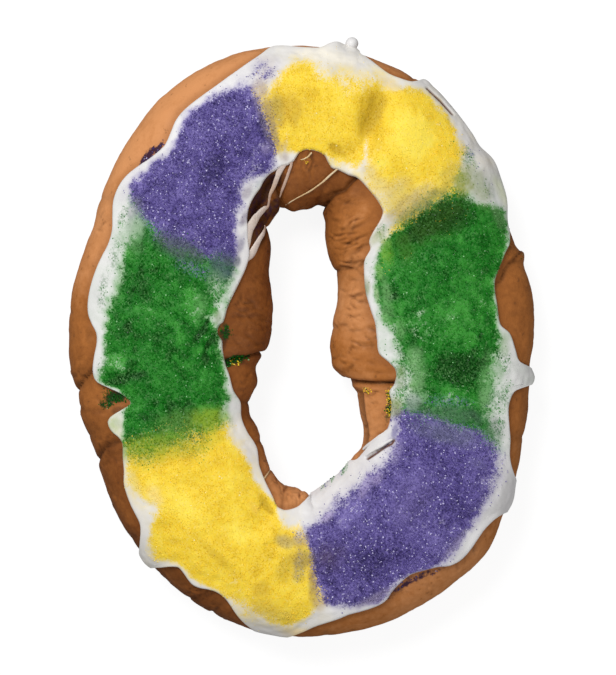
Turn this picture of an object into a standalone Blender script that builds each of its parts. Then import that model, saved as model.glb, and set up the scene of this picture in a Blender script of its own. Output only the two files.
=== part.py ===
"""King cake: an oval ring of sweet yeast dough with a sheet of white icing over its top.

Frame: +X across the ring, +Y along it, +Z up. The origin is on the table under the middle of the ring.
Every place on the ring is given by two numbers. The first is an angle in degrees around the ring, from +X
towards +Y. The second is a share of the band: 0 on the inner rail, 1 on the outer rail, both ellipses.
"""

import math

import bpy
import numpy as np

# Driving dimensions, in metres
OUTER_HALF_WIDTH = 0.1497
OUTER_HALF_LENGTH = 0.1892
OUTER_CENTRE = (0.0007, -0.0022)
INNER_HALF_WIDTH = 0.0269
INNER_HALF_LENGTH = 0.0961
INNER_CENTRE = (0.0017, -0.0122)
WIDEST_HEIGHT = 0.022
FOOT_INSET = 0.010
DOME_EXPONENT = 2.3
ICING_GAP = 0.0005
ICING_THICKNESS = 0.0026
ICING_LIP_THICKNESS = 0.0016
ICING_FAT_LIP_THICKNESS = 0.0048

# How finely each solid is divided
STATIONS = 120
BARE_STEPS = 3
ICED_STEPS = 8
FOOT_STEPS = 2
BASE_STEPS = 2

# Height of the crown around the ring: (degrees, metres)
CROWN_HEIGHTS = (
    (0, 0.0565), (30, 0.0570), (55, 0.0590), (67, 0.0555), (85, 0.0570), (130, 0.0590),
    (165, 0.0575), (200, 0.0560), (225, 0.0575), (262, 0.0550), (285, 0.0560), (315, 0.0590), (345, 0.0570),
)

# Where the dough ends, seen from above: (degrees, share of the band)
DOUGH_OUTER = (
    (0, 0.99), (10, 0.99), (21, 0.96), (30, 0.985), (50, 0.995), (61, 1.01), (77, 0.99), (90, 0.99),
    (105, 1.02), (122, 1.032), (138, 1.012), (158, 0.97), (170, 1.0), (185, 0.998), (195, 0.97),
    (203, 0.95), (213, 0.98), (225, 1.0), (265, 1.012), (285, 1.02), (300, 1.045), (314, 1.10),
    (326, 1.05), (340, 1.005), (356, 0.97),
)
DOUGH_INNER = (
    (0, -0.07), (10, -0.07), (28, -0.025), (45, -0.04), (57, 0.0), (68, 0.042), (80, 0.0), (92, -0.022),
    (106, 0.0), (121, 0.08), (138, 0.01), (155, -0.03), (168, -0.045), (180, -0.005), (190, 0.025),
    (202, 0.085), (215, 0.05), (235, 0.01), (248, -0.06), (262, -0.108), (275, -0.10), (285, -0.045),
    (300, -0.005), (314, 0.08), (330, 0.13), (343, 0.07), (351, 0.03), (355, -0.05),
)

# Where the icing ends, seen from above: (degrees, share of the band)
ICING_OUTER = (
    (3, 0.82), (12, 0.80), (20, 0.92), (28, 1.01), (50, 1.01), (66, 0.957), (74, 0.99), (78, 1.04),
    (88, 0.99), (100, 0.965), (110, 0.90), (133, 0.83), (146, 0.91), (158, 0.86), (172, 0.905), (185, 0.87),
    (192, 0.74), (198, 0.82), (216, 0.88), (227, 1.0), (236, 0.875), (245, 0.855), (261, 1.0),
    (276, 0.90), (291, 0.885), (301, 0.835), (311, 0.98), (328, 1.07), (337, 0.945), (346, 0.88),
    (352.5, 0.99), (357, 0.89),
)
ICING_INNER = (
    (0, 0.17), (15, 0.138), (30, 0.14), (43, 0.31), (60, 0.33), (72, 0.28), (83, 0.33), (95, 0.29),
    (103, 0.20), (113, 0.12), (127, 0.075), (145, 0.11), (170, 0.195), (185, 0.185), (203, 0.135),
    (217, 0.087), (240, 0.10), (256, 0.05), (270, -0.04), (283, -0.075), (300, -0.035), (315, 0.055),
    (328, 0.17), (339, 0.257), (353, 0.255),
)

# Where the icing runs over the widest place it stops a little above it: (degrees, radians up the dome)
ICING_LIP = (
    (26, 0.26), (31, 0.15), (38, 0.10), (45, 0.24), (51, 0.14), (57, 0.22), (61, 0.12), (70, 0.30),
    (77, 0.12), (86, 0.26), (228, 0.20), (262, 0.22), (288, 0.14), (311, 0.26), (320, 0.22),
    (328, 0.10), (336, 0.28),
)

# Swells and dips of the top: (degrees, share, half-length in degrees, half-width as a share, metres)
SWELLS = (
    (55, 0.62, 11, 0.36, 0.0025),
    (66, 0.72, 7, 0.34, -0.0040),
    (31, 0.62, 9, 0.34, -0.0020),
    (354, 0.62, 6, 0.22, -0.0025),
    (129, 0.55, 18, 0.40, 0.0020),
    (192, 0.80, 6, 0.24, -0.0020),
    (243, 0.25, 10, 0.20, -0.0025),
)

# The hollow in the dough that the icing bridges in strings: the same five numbers
HOLLOW = (119, 0.185, 17, 0.115, -0.0080)

# Open slots in the icing: (degrees, share) of one end, of the other end, and the width in metres
ICING_SLOTS = (
    ((105, 0.285), (134, 0.212), 0.0068),
    ((121, 0.108), (143, 0.155), 0.0046),
    ((324, 0.200), (333, 0.310), 0.0022),
)
SLOT_SIDES = 20
SLOT_TOP = 0.080
SLOT_BOTTOM = 0.030

# Where the icing has run over the outer edge its lip is fat: degrees, and half its length in degrees
ICING_FAT_LIP = (77.5, 5.0)

# The blob that hangs from that lip: degrees, share, height and radius of the ball
ICING_BLOB = (78.25, 1.047, 0.030, 0.0042)
BLOB_SIDES = 20
BLOB_RINGS = 10

DOUGH_COLOUR = (0.42, 0.17, 0.055, 1.0)
DOUGH_ROUGHNESS = 0.5
ICING_COLOUR = (0.90, 0.88, 0.85, 1.0)
ICING_ROUGHNESS = 0.35


def clear_objects():
    """Empties the scene."""
    for item in list(bpy.data.objects):
        bpy.data.objects.remove(item, do_unlink=True)


def new_collection(name):
    collection = bpy.data.collections.new(name)
    bpy.context.scene.collection.children.link(collection)
    return collection


def surface_material(name, colour, roughness):
    material = bpy.data.materials.new(name)
    material.use_nodes = True
    shader = material.node_tree.nodes["Principled BSDF"]
    shader.inputs["Base Color"].default_value = colour
    shader.inputs["Roughness"].default_value = roughness
    shader.inputs["Metallic"].default_value = 0.0
    return material


def around_ring(points, degrees):
    """Closed curve through (degrees, value) points: cubic pieces, each slope taken from its neighbours."""
    at = np.array([point[0] for point in points], dtype=float)
    value = np.array([point[1] for point in points], dtype=float)
    at = np.concatenate((at[-2:] - 360.0, at, at[:2] + 360.0))
    value = np.concatenate((value[-2:], value, value[:2]))
    slope = np.empty_like(value)
    slope[1:-1] = (value[2:] - value[:-2]) / (at[2:] - at[:-2])
    slope[0] = slope[1]
    slope[-1] = slope[-2]
    piece = np.clip(np.searchsorted(at, degrees, side="right") - 1, 0, len(at) - 2)
    span = at[piece + 1] - at[piece]
    part = (degrees - at[piece]) / span
    blend = part * part * (3.0 - 2.0 * part)
    leave = part * (1.0 - part) ** 2
    arrive = part * part * (1.0 - part)
    return (
        value[piece] * (1.0 - blend)
        + value[piece + 1] * blend
        + span * (slope[piece] * leave - slope[piece + 1] * arrive)
    )


def rail_points(degrees, share):
    """Plan position (x, y) at an angle and a share of the band, on the straight line between the rails."""
    turn = np.radians(degrees)
    inner_x = INNER_CENTRE[0] + INNER_HALF_WIDTH * np.cos(turn)
    inner_y = INNER_CENTRE[1] + INNER_HALF_LENGTH * np.sin(turn)
    outer_x = OUTER_CENTRE[0] + OUTER_HALF_WIDTH * np.cos(turn)
    outer_y = OUTER_CENTRE[1] + OUTER_HALF_LENGTH * np.sin(turn)
    return inner_x + share * (outer_x - inner_x), inner_y + share * (outer_y - inner_y)


def band_width(degrees):
    inner_x, inner_y = rail_points(degrees, 0.0)
    outer_x, outer_y = rail_points(degrees, 1.0)
    return np.hypot(outer_x - inner_x, outer_y - inner_y)


def swell(degrees, share, swell_values):
    """One rounded swell or dip: a cosine bell over an oval patch of the band."""
    at, middle, half_length, half_width, height = swell_values
    around = (degrees - at + 180.0) % 360.0 - 180.0
    reach = np.hypot(around / half_length, (share - middle) / half_width)
    return height * 0.5 * (1.0 + np.cos(np.pi * np.minimum(reach, 1.0)))


def dome_angle(edge, outer, inner):
    """Angle over the dome, 0 at the outer side and pi at the inner, at which the dome has the share edge."""
    middle = 0.5 * (outer + inner)
    half = 0.5 * (outer - inner)
    across = np.clip((edge - middle) / half, -1.0, 1.0)
    return np.arccos(np.sign(across) * np.abs(across) ** (DOME_EXPONENT / 2.0))


def section_angles(degrees):
    """Angles over the dome for all stations: bare outer crust, the iced top, then the bare inner crust."""
    outer = around_ring(DOUGH_OUTER, degrees)
    inner = around_ring(DOUGH_INNER, degrees)
    start = dome_angle(around_ring(ICING_OUTER, degrees), outer, inner)
    end = dome_angle(around_ring(ICING_INNER, degrees), outer, inner)
    lip = around_ring(ICING_LIP, degrees)
    start = np.maximum(start, lip)[:, None]
    end = np.minimum(end, math.pi - lip)[:, None]
    bare = np.linspace(0.0, 1.0, BARE_STEPS + 1)
    iced = np.linspace(0.0, 1.0, ICED_STEPS + 1)[1:]
    return np.hstack((start * bare, start + (end - start) * iced, end + (math.pi - end) * bare[1:]))


def dome_points(degrees, angles, hollow_depth):
    """Points over the dome, a superellipse from the outer side over the crown to the inner side."""
    outer = around_ring(DOUGH_OUTER, degrees)[:, None]
    inner = around_ring(DOUGH_INNER, degrees)[:, None]
    crown = around_ring(CROWN_HEIGHTS, degrees)[:, None]
    across = np.sign(np.cos(angles)) * np.abs(np.cos(angles)) ** (2.0 / DOME_EXPONENT)
    rise = np.abs(np.sin(angles)) ** (2.0 / DOME_EXPONENT)
    share = 0.5 * (outer + inner) + 0.5 * (outer - inner) * across
    height = WIDEST_HEIGHT + (crown - WIDEST_HEIGHT) * rise
    for values in SWELLS:
        height = height + rise * swell(degrees[:, None], share, values)
    height = height + hollow_depth * swell(degrees[:, None], share, HOLLOW[:4] + (1.0,))
    x, y = rail_points(degrees[:, None], share)
    return np.stack((x, y, height), axis=-1)


def foot_points(degrees):
    """Points below the widest place: a quarter ellipse in to the flat base, across it, and out again."""
    outer = around_ring(DOUGH_OUTER, degrees)[:, None]
    inner = around_ring(DOUGH_INNER, degrees)[:, None]
    inset = FOOT_INSET / band_width(degrees)[:, None]
    down = np.linspace(0.0, 0.5 * math.pi, FOOT_STEPS + 1)[1:]
    across = np.linspace(0.0, 1.0, BASE_STEPS + 1)[1:-1]
    up = down[::-1]
    inner_share = inner + inset * (1.0 - np.cos(down))
    inner_height = WIDEST_HEIGHT * (1.0 - np.sin(down)) + 0.0 * inner
    base_share = (inner + inset) + (outer - inner - 2.0 * inset) * across
    base_height = 0.0 * base_share
    outer_share = outer - inset * (1.0 - np.cos(up))
    outer_height = WIDEST_HEIGHT * (1.0 - np.sin(up)) + 0.0 * outer
    share = np.hstack((inner_share, base_share, outer_share))
    height = np.hstack((inner_height, base_height, outer_height))
    x, y = rail_points(degrees[:, None], share)
    return np.stack((x, y, height), axis=-1)


def grid_triangles(rows, columns, closed_section):
    """Triangles of a grid that closes on itself around the ring, and across it if closed_section is set."""
    row = np.arange(rows)[:, None]
    column = np.arange(columns if closed_section else columns - 1)[None, :]
    here = row * columns + column
    beside = row * columns + (column + 1) % columns
    ahead = (row + 1) % rows * columns + column
    across = (row + 1) % rows * columns + (column + 1) % columns
    first = np.stack((here, ahead, across), axis=-1).reshape(-1, 3)
    second = np.stack((here, across, beside), axis=-1).reshape(-1, 3)
    return np.vstack((first, second))


def grid_object(name, points, closed_section, material, collection):
    rows, columns = points.shape[:2]
    mesh = bpy.data.meshes.new(name)
    triangles = grid_triangles(rows, columns, closed_section)
    mesh.from_pydata(points.reshape(-1, 3).tolist(), [], triangles.tolist())
    mesh.materials.append(material)
    made = bpy.data.objects.new(name, mesh)
    collection.objects.link(made)
    return made


def grid_normals(points):
    """Outward normals of a grid that closes on itself around the ring."""
    along = np.roll(points, -1, axis=0) - np.roll(points, 1, axis=0)
    across = np.gradient(points, axis=1)
    normals = np.cross(along, across)
    return normals / np.linalg.norm(normals, axis=-1, keepdims=True)


def make_dough(degrees, angles, collection):
    """The baked ring: a domed top with the hollow pressed into it, and a flat base with rounded edges."""
    dome = dome_points(degrees, angles, HOLLOW[4])
    section = np.concatenate((dome, foot_points(degrees)), axis=1)
    material = surface_material("baked_dough", DOUGH_COLOUR, DOUGH_ROUGHNESS)
    made = grid_object("dough_ring", section, True, material, collection)
    made.data.shade_smooth()
    made.data.set_sharp_from_angle(angle=math.radians(50))
    return made


def icing_thickness(degrees):
    """Thickness for every point of the sheet: thin at its two lips, full between them, fat by the blob."""
    thickness = np.full((len(degrees), ICED_STEPS + 1), ICING_THICKNESS)
    thickness[:, 0] = ICING_LIP_THICKNESS
    thickness[:, -1] = ICING_LIP_THICKNESS
    at, half_length = ICING_FAT_LIP
    near = np.clip(1.0 - np.abs(degrees - at) / half_length, 0.0, 1.0)
    thickness[:, 0] += near * (ICING_FAT_LIP_THICKNESS - ICING_LIP_THICKNESS)
    return thickness


def make_icing(degrees, angles, collection):
    """The sheet of icing: the iced part of the dome, lifted clear of it and given its thickness."""
    dome = dome_points(degrees, angles, 0.0)
    lifted = dome + ICING_GAP * grid_normals(dome)
    sheet = lifted[:, BARE_STEPS:BARE_STEPS + ICED_STEPS + 1]
    material = surface_material("white_icing", ICING_COLOUR, ICING_ROUGHNESS)
    made = grid_object("icing", sheet, False, material, collection)
    made.data.shade_smooth()
    made.data.set_sharp_from_angle(angle=math.radians(50))
    weights = icing_thickness(degrees) / ICING_FAT_LIP_THICKNESS
    group = made.vertex_groups.new(name="thickness")
    for index, weight in enumerate(weights.ravel()):
        group.add([index], float(weight), "REPLACE")
    shell = made.modifiers.new("thickness", "SOLIDIFY")
    shell.thickness = ICING_FAT_LIP_THICKNESS
    shell.offset = 1.0
    shell.vertex_group = "thickness"
    return made


def keep_as_tool(tool, name, collection):
    """Names a helper solid and moves it to the collection of those that only shape another solid."""
    tool.name = name
    for home in list(tool.users_collection):
        home.objects.unlink(tool)
    collection.objects.link(tool)
    tool.hide_render = True
    tool.display_type = "WIRE"
    return tool


def add_blob(icing, collection):
    """Joins the blob to the sheet: a ball that sinks into its outer edge and clears the dough behind it."""
    at, share, height, radius = ICING_BLOB
    x, y = rail_points(at, share)
    bpy.ops.mesh.primitive_uv_sphere_add(segments=BLOB_SIDES, ring_count=BLOB_RINGS, radius=radius)
    ball = keep_as_tool(bpy.context.active_object, "blob", collection)
    ball.location = (float(x), float(y), height)
    joined = icing.modifiers.new("blob", "BOOLEAN")
    joined.operation = "UNION"
    joined.solver = "EXACT"
    joined.object = ball


def make_slot_cutter(name, start, end, width, collection):
    """An upright oval post through the icing, as long as the slot and as wide."""
    start_x, start_y = rail_points(start[0], start[1])
    end_x, end_y = rail_points(end[0], end[1])
    bpy.ops.mesh.primitive_cylinder_add(vertices=SLOT_SIDES, radius=1.0, depth=SLOT_TOP - SLOT_BOTTOM)
    cutter = keep_as_tool(bpy.context.active_object, name, collection)
    cutter.scale = (0.5 * math.hypot(end_x - start_x, end_y - start_y), 0.5 * width, 1.0)
    cutter.rotation_euler = (0.0, 0.0, math.atan2(end_y - start_y, end_x - start_x))
    cutter.location = (0.5 * (start_x + end_x), 0.5 * (start_y + end_y), 0.5 * (SLOT_TOP + SLOT_BOTTOM))
    return cutter


def cut_slots(icing, collection):
    """Opens the slots between the icing's strings."""
    for number, (start, end, width) in enumerate(ICING_SLOTS, 1):
        cutter = make_slot_cutter("slot_cutter_" + str(number), start, end, width, collection)
        cut = icing.modifiers.new("slot_" + str(number), "BOOLEAN")
        cut.operation = "DIFFERENCE"
        cut.solver = "EXACT"
        cut.object = cutter


def build_cake():
    clear_objects()
    cake = new_collection("king_cake")
    tools = new_collection("shaping_tools")
    degrees = np.arange(STATIONS) * 360.0 / STATIONS
    angles = section_angles(degrees)
    make_dough(degrees, angles, cake)
    icing = make_icing(degrees, angles, cake)
    add_blob(icing, tools)
    cut_slots(icing, tools)


build_cake()
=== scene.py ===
import math

import bpy
import numpy as np
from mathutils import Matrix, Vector


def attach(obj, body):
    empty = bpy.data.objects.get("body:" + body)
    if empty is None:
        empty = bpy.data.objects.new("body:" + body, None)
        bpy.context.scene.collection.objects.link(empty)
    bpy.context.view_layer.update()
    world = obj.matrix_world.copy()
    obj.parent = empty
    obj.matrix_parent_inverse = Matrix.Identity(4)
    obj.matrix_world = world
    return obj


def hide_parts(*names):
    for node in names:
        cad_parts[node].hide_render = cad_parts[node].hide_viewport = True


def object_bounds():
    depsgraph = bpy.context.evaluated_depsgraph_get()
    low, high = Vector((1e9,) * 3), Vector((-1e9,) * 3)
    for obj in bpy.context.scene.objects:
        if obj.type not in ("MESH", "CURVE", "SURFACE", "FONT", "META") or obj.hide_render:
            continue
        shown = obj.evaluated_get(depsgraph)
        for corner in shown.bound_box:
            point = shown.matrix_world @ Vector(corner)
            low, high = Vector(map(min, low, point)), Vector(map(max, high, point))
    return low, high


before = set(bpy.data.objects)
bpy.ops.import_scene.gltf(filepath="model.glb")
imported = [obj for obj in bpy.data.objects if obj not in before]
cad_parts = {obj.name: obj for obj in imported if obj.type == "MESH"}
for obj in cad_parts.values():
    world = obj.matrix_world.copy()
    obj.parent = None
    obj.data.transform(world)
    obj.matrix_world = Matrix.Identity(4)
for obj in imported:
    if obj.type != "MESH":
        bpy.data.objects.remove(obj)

cad_low, cad_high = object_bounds()


# Table top, lights and camera.
# A plain white table under one large soft lamp, high to the far left, a weaker one opposite, and an even
# room. The camera hangs high over the cake and looks straight down.
TABLE_SIZE = 6.0
TABLE_PALE = (0.16, 0.16, 0.16, 1.0)
TABLE_GLOW = 0.90
CAMERA_HEIGHT = 4.0
CAMERA_PLACE = (0.0042, -0.0003)
VIEW_LENGTH = 0.4327
VIEW_PLANE = 0.022
SENSOR = 36.0
LIGHT_WHITE = (1.0, 1.0, 1.0, 1.0)
# Lamps: (name, size in metres, watts, place)
LAMPS = (("key_lamp", 1.7, 114.0, (-1.30, 1.80, 2.98)), ("fill_lamp", 2.4, 34.0, (2.10, -2.20, 1.90)))
LAMP_TARGET = (0.0, 0.0, 0.03)
ROOM_STRENGTH = 0.28


class Graph:
    """Short calls for the shader nodes of one material or node group.

    A value is a socket, which is linked, or a plain number or colour, which is set. Each keyword is the
    name of an input, with _ for a space.
    """

    def __init__(self, tree):
        self.nodes, self.links = tree.nodes, tree.links

    def connect(self, value, socket):
        """Links the value to that input, or sets it there."""
        if isinstance(value, bpy.types.NodeSocket):
            self.links.new(value, socket)
        else:
            socket.default_value = value

    def fill(self, node, **values):
        """Connects each value to the input of that name, and gives the node's outputs."""
        for name, value in values.items():
            self.connect(value, node.inputs[name.replace("_", " ")])
        return node.outputs

    def add(self, kind, **values):
        """The outputs of a new node of that kind."""
        return self.fill(self.nodes.new("ShaderNode" + kind), **values)

    def group(self, tree, **values):
        """The outputs of a node group, placed with its own values."""
        node = self.nodes.new("ShaderNodeGroup")
        node.node_tree = tree
        return self.fill(node, **values)

    def mix(self, factor, first, second):
        """The first colour where the factor is 0, the second where it is 1."""
        node = self.nodes.new("ShaderNodeMix")
        node.data_type = "RGBA"
        for value, number in ((factor, 0), (first, 6), (second, 7)):
            self.connect(value, node.inputs[number])
        return node.outputs[2]

    def math(self, operation, first, second):
        """The two values, worked out with that operation."""
        node = self.nodes.new("ShaderNodeMath")
        node.operation = operation
        self.connect(first, node.inputs[0])
        self.connect(second, node.inputs[1])
        return node.outputs[0]

    def spread(self, value, low, high, to_low=0.0, to_high=1.0):
        """Takes low..high to to_low..to_high, and stops at both ends."""
        ends = dict(From_Min=low, From_Max=high, To_Min=to_low, To_Max=to_high)
        return self.add("MapRange", Value=value, **ends)["Result"]

    def between(self, value, low, high):
        """Takes 0..1 to low..high."""
        return self.spread(value, 0.0, 1.0, low, high)

    def swing(self, value, half):
        """Takes 0..1 to -half..half."""
        return self.between(value, -half, half)

    def read(self, name):
        """A number painted on the vertices."""
        node = self.nodes.new("ShaderNodeAttribute")
        node.attribute_name = name
        return node.outputs["Fac"]

    def bump(self, height, strength, distance):
        """The normal, tilted by the slope of that height."""
        return self.add("Bump", Strength=strength, Distance=distance, Height=height)["Normal"]


def new_finish(name):
    """A new material, its graph and its surface shader."""
    finish = bpy.data.materials.new(name)
    finish.use_nodes = True
    return finish, Graph(finish.node_tree), finish.node_tree.nodes["Principled BSDF"]


table_mesh = bpy.data.meshes.new("table_top")
half_table = 0.5 * TABLE_SIZE
table_corners = [(-half_table, -half_table, 0.0), (half_table, -half_table, 0.0),
                 (half_table, half_table, 0.0), (-half_table, half_table, 0.0)]
table_mesh.from_pydata(table_corners, [], [(0, 1, 2, 3)])
table = bpy.data.objects.new("table_top", table_mesh)
bpy.context.scene.collection.objects.link(table)
table_finish, graph, shader = new_finish("table_white")
glow = graph.math("MULTIPLY", graph.add("LightPath")["Is Camera Ray"], TABLE_GLOW)
graph.fill(shader, Base_Color=TABLE_PALE, Roughness=0.8, Specular_IOR_Level=0.1, Emission_Color=LIGHT_WHITE,
           Emission_Strength=glow)
table_mesh.materials.append(table_finish)


def soft_lamp(name, size, watts, place, target):
    """A square area lamp of that size, at place, aimed at target."""
    lamp_data = bpy.data.lights.new(name, "AREA")
    lamp_data.shape = "SQUARE"
    lamp_data.size = size
    lamp_data.energy = watts
    lamp = bpy.data.objects.new(name, lamp_data)
    lamp.location = place
    lamp.rotation_euler = (Vector(target) - Vector(place)).to_track_quat("-Z", "Y").to_euler()
    bpy.context.scene.collection.objects.link(lamp)


for lamp_name, lamp_size, lamp_watts, lamp_place in LAMPS:
    soft_lamp(lamp_name, lamp_size, lamp_watts, lamp_place, LAMP_TARGET)
room = bpy.data.worlds.new("room_light")
room.use_nodes = True
Graph(room.node_tree).fill(room.node_tree.nodes["Background"], Color=LIGHT_WHITE, Strength=ROOM_STRENGTH)
bpy.context.scene.world = room
bpy.context.scene.view_settings.view_transform = "Standard"

camera_data = bpy.data.cameras.new("camera")
camera_data.sensor_width = SENSOR
camera_data.lens = SENSOR * (CAMERA_HEIGHT - VIEW_PLANE) / VIEW_LENGTH
camera_data.clip_end = 20.0
camera = bpy.data.objects.new("camera", camera_data)
camera.location = (CAMERA_PLACE[0], CAMERA_PLACE[1], CAMERA_HEIGHT)
bpy.context.scene.collection.objects.link(camera)
bpy.context.scene.camera = camera


# Dough ring.
# One ring of sweet yeast dough, rolled, joined end to end and baked on a tray: a domed top, bulging sides,
# a flat base, and folds and fine wrinkles where it shrank as it cooled.
HALF_WIDTH = 0.5 * (cad_high.x - cad_low.x)
HALF_LENGTH = 0.5 * (cad_high.y - cad_low.y)
# Rails, two ovals in plan: (centre x, centre y, half-width, half-length)
OUTER_RAIL = (0.0007, -0.0022, 1.0026 * HALF_WIDTH, 0.9841 * HALF_LENGTH)
INNER_RAIL = (0.0017, -0.0122, 0.1802 * HALF_WIDTH, 0.4999 * HALF_LENGTH)
WIDEST_HEIGHT = 0.022
FOOT_INSET = 0.010
DOME_EXPONENT = 2.3
DOUGH_STATIONS = 720
# Rows across the section: outer side, under the icing, inner side, each rounded foot, flat base
OUTER_ROWS, CROWN_ROWS, INNER_ROWS, FOOT_ROWS, BASE_ROWS = 37, 6, 49, 13, 5
# Degrees over the dome between which the icing hides the crust, so that it needs few rows
CROWN_START, CROWN_END = 62, 96
# Large odd numbers that turn a lattice corner and a seed into a random value
LATTICE_PRIMES, SEED_STRIDE = (73856093, 19349663, 83492791), 40503
HASH_STIRS, HASH_TOP = ((13, 1274126177), (15, 668265263)), 0x7FFFFFFF
# Lumps in the crust: (height in metres, size in metres, seed)
CRUST_LUMPS = ((.0008, .026, 1), (.0004, .010, 2))
SKIN_HEIGHT, SKIN_SIZE = .00022, .0045
PORE_HEIGHT, PORE_SIZE = .00010, .0021
# Heights in metres between which the relief comes in over the flat base, and the tray's browning fades
BASE_FADE, TRAY_FADE = (.0005, .006), (.012, .002)
# Depths in metres at which a fold and a wrinkle get their darkest painted shade, how dark the painted shade
# of a wrinkle and of the shelf's foot gets, and how much purple dye ran into the hollows
DARKEST_FOLD, DARKEST_WRINKLE, WRINKLE_SHADE, SHELF_SHADE, HOLLOW_DYE = .0028, .0009, .55, .7, .38
# Where the dough ends, seen from above: (degrees round the ring, share of the band from inner to outer rail)
DOUGH_OUTER = (
    (0, .985), (5, .99), (10, .988), (15, .975), (17.5, .993), (19.5, .965), (24, .955), (28, .985),
    (33, 1), (37, 1.012), (41, .995), (44, 1.006), (50, 1.01), (55, 1.02), (60, 1.022), (66, 1.012),
    (72, 1.002), (77, .995), (84, .992), (90, .998), (97, 1.002), (105, 1.018), (115, 1.03), (125, 1.033),
    (135, 1.02), (145, 1), (151, .988), (157, .97), (165, .988), (172, 1), (180, 1), (186, .998),
    (189, .98), (192, .975), (196, .968), (200, .955), (203, .95), (206, .955), (211, .973), (216, .987),
    (222, .994), (230, 1), (250, 1), (265, 1), (275, 1.009), (285, 1.025), (292, 1.044), (300, 1.058),
    (306, 1.08), (312, 1.098), (316, 1.103), (320, 1.09), (324, 1.062), (328, 1.045), (333, 1.03),
    (340, 1.005), (346, .995), (351, .975), (356, .97),
)
DOUGH_INNER = (
    (0, -.07), (5, -.08), (10, -.07), (16, -.058), (25, -.03), (33, -.02), (45, -.04), (55, -.025),
    (61, .015), (66, .028), (73, .03), (78, .002), (84, -.02), (92, -.024), (100, -.015), (106, .003),
    (112, .055), (120, .08), (128, .07), (135, .02), (145, 0), (152, -.02), (160, -.04), (169, -.045),
    (175, -.032), (180, -.012), (184, .024), (190, .026), (196, .07), (202, .085), (207, .06), (215, .05),
    (225, .04), (231, .025), (238, 0), (245, -.045), (250, -.078), (256, -.102), (263, -.108), (270, -.115),
    (276, -.098), (281, -.06), (290, -.04), (300, -.01), (306, .015), (311, .045), (316, .072), (321, .1),
    (327, .114), (333, .103), (338, .072), (344, .048), (350, .03), (352.5, -.005), (356, -.055),
)
# How high the crown is: (degrees, metres)
CROWN_HEIGHTS = (
    (0, .0565), (30, .057), (55, .059), (67, .0555), (85, .057), (130, .059), (165, .0575),
    (200, .056), (225, .0575), (262, .055), (285, .056), (315, .059), (345, .057),
)
# Swells and dips: (degrees, share, half-length in degrees, half-width as a share, metres)
SWELLS = (
    (55, .62, 11, .36, .0025), (66, .72, 7, .34, -.004), (31, .62, 9, .34, -.002),
    (354, .62, 6, .22, -.0025), (129, .55, 18, .4, .002), (192, .8, 6, .24, -.002),
    (243, .25, 10, .2, -.0025),
)
# The hollow in the bare dough at the upper left of the hole, given like a dip
HOLLOW = (119, .185, 17, .115, -.008)
# Folds in the walls: a line of (degrees, angle over the dome), depth, half-width, lift of the side ahead
OUTER_FOLDS = (
    (((18.9, -.9), (18.4, 0), (17.4, .3), (15.6, .62), (13, .8)), .002, .0016, -.0009),
    (((190.2, -1), (189.9, 0), (188.6, .35), (187, .62), (185, .85)), .0026, .0016, -.001),
    (((187.4, .1), (186.8, .35), (185.8, .6)), .001, .0016, -.0004),
    (((193.4, -.2), (193.8, .25), (194.3, .75)), .0013, .0012, .0006),
    (((204.8, -1), (204.4, .12), (203.2, .38), (202, .6), (201.5, .9)), .0028, .0018, .001),
    (((205.6, .45), (204.6, .62), (203.8, .86)), .001, .0012, 0),
    (((199, -.6), (199, .2), (198, .6)), .0007, .0018, 0),
    (((240.4, -.5), (241, .12), (242.2, .42), (243.6, .85)), .0012, .0013, .0005),
    (((242.6, .25), (243.9, .6), (245.2, .85)), .001, .0011, 0),
    (((247, -.6), (247, .1), (247.8, .6)), .0011, .0014, -.0004),
    (((151.5, -.5), (151, .1), (150, .6)), .0007, .003, 0),
    (((174, -.6), (174.2, 0), (174.5, .2)), .0009, .0014, 0),
    (((5.8, .25), (5.6, .45), (5.4, .72)), .0006, .0012, -.0003),
    (((341, -.6), (341, .1), (340.5, .6)), .0009, .0028, 0),
    (((27, -.6), (27, .3)), .0009, .003, 0),
    (((276, -.6), (275.5, .4)), .0007, .004, 0),
    (((222, -.6), (222.4, .4)), .0007, .003, 0),
    (((127, -.9), (127, -.1)), .001, .004, 0),
    (((62.5, -.8), (62, .3)), .001, .002, 0),
)
INNER_FOLDS = (
    (((60.2, 1.88), (61.2, 1.98), (62.5, 2.18), (65.9, 2.36), (68.2, 2.74), (69.2, 3.14), (69.6, 4.2)),
     .003, .0013, -.0026),
    (((350.8, 1.88), (350.3, 2.33), (350.4, 2.6), (351, 2.82), (351.7, 3.14), (352.2, 4.2)),
     .005, .0015, .0022),
    (((183, 2.05), (182.3, 2.25), (181.2, 2.5), (179.6, 2.72), (178.9, 3.14), (178.8, 4)),
     .0038, .0014, -.0014),
    (((196, 2.4), (196.8, 2.8), (197.2, 3.14), (197.4, 3.9)), .0014, .0016, -.0004),
    (((112.2, 2.35), (112.8, 2.6), (114, 2.9), (115, 3.14), (115.2, 4)), .0026, .0014, .001),
    (((128.4, 2.7), (128, 2.92), (127.5, 3.14), (127.5, 4)), .002, .0015, -.0008),
    (((249.6, 2.25), (246.6, 2.45), (243.3, 2.68), (242.4, 3.14)), .0015, .0011, .0006),
    (((228, 2.4), (227.4, 2.75), (227, 3.14), (227, 3.8)), .0009, .0012, 0),
    (((33.6, 2.36), (34.4, 2.62), (35.4, 3.14), (35.4, 3.8)), .0014, .0018, .0006),
    (((12, 2.6), (12, 3.14), (12, 3.8)), .0008, .0024, 0),
    (((166.8, 2.25), (166.2, 2.6), (165.5, 3)), .0008, .0016, 0),
    (((213, 2.6), (213, 3.14), (213, 3.8)), .0008, .0018, 0),
)
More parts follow.
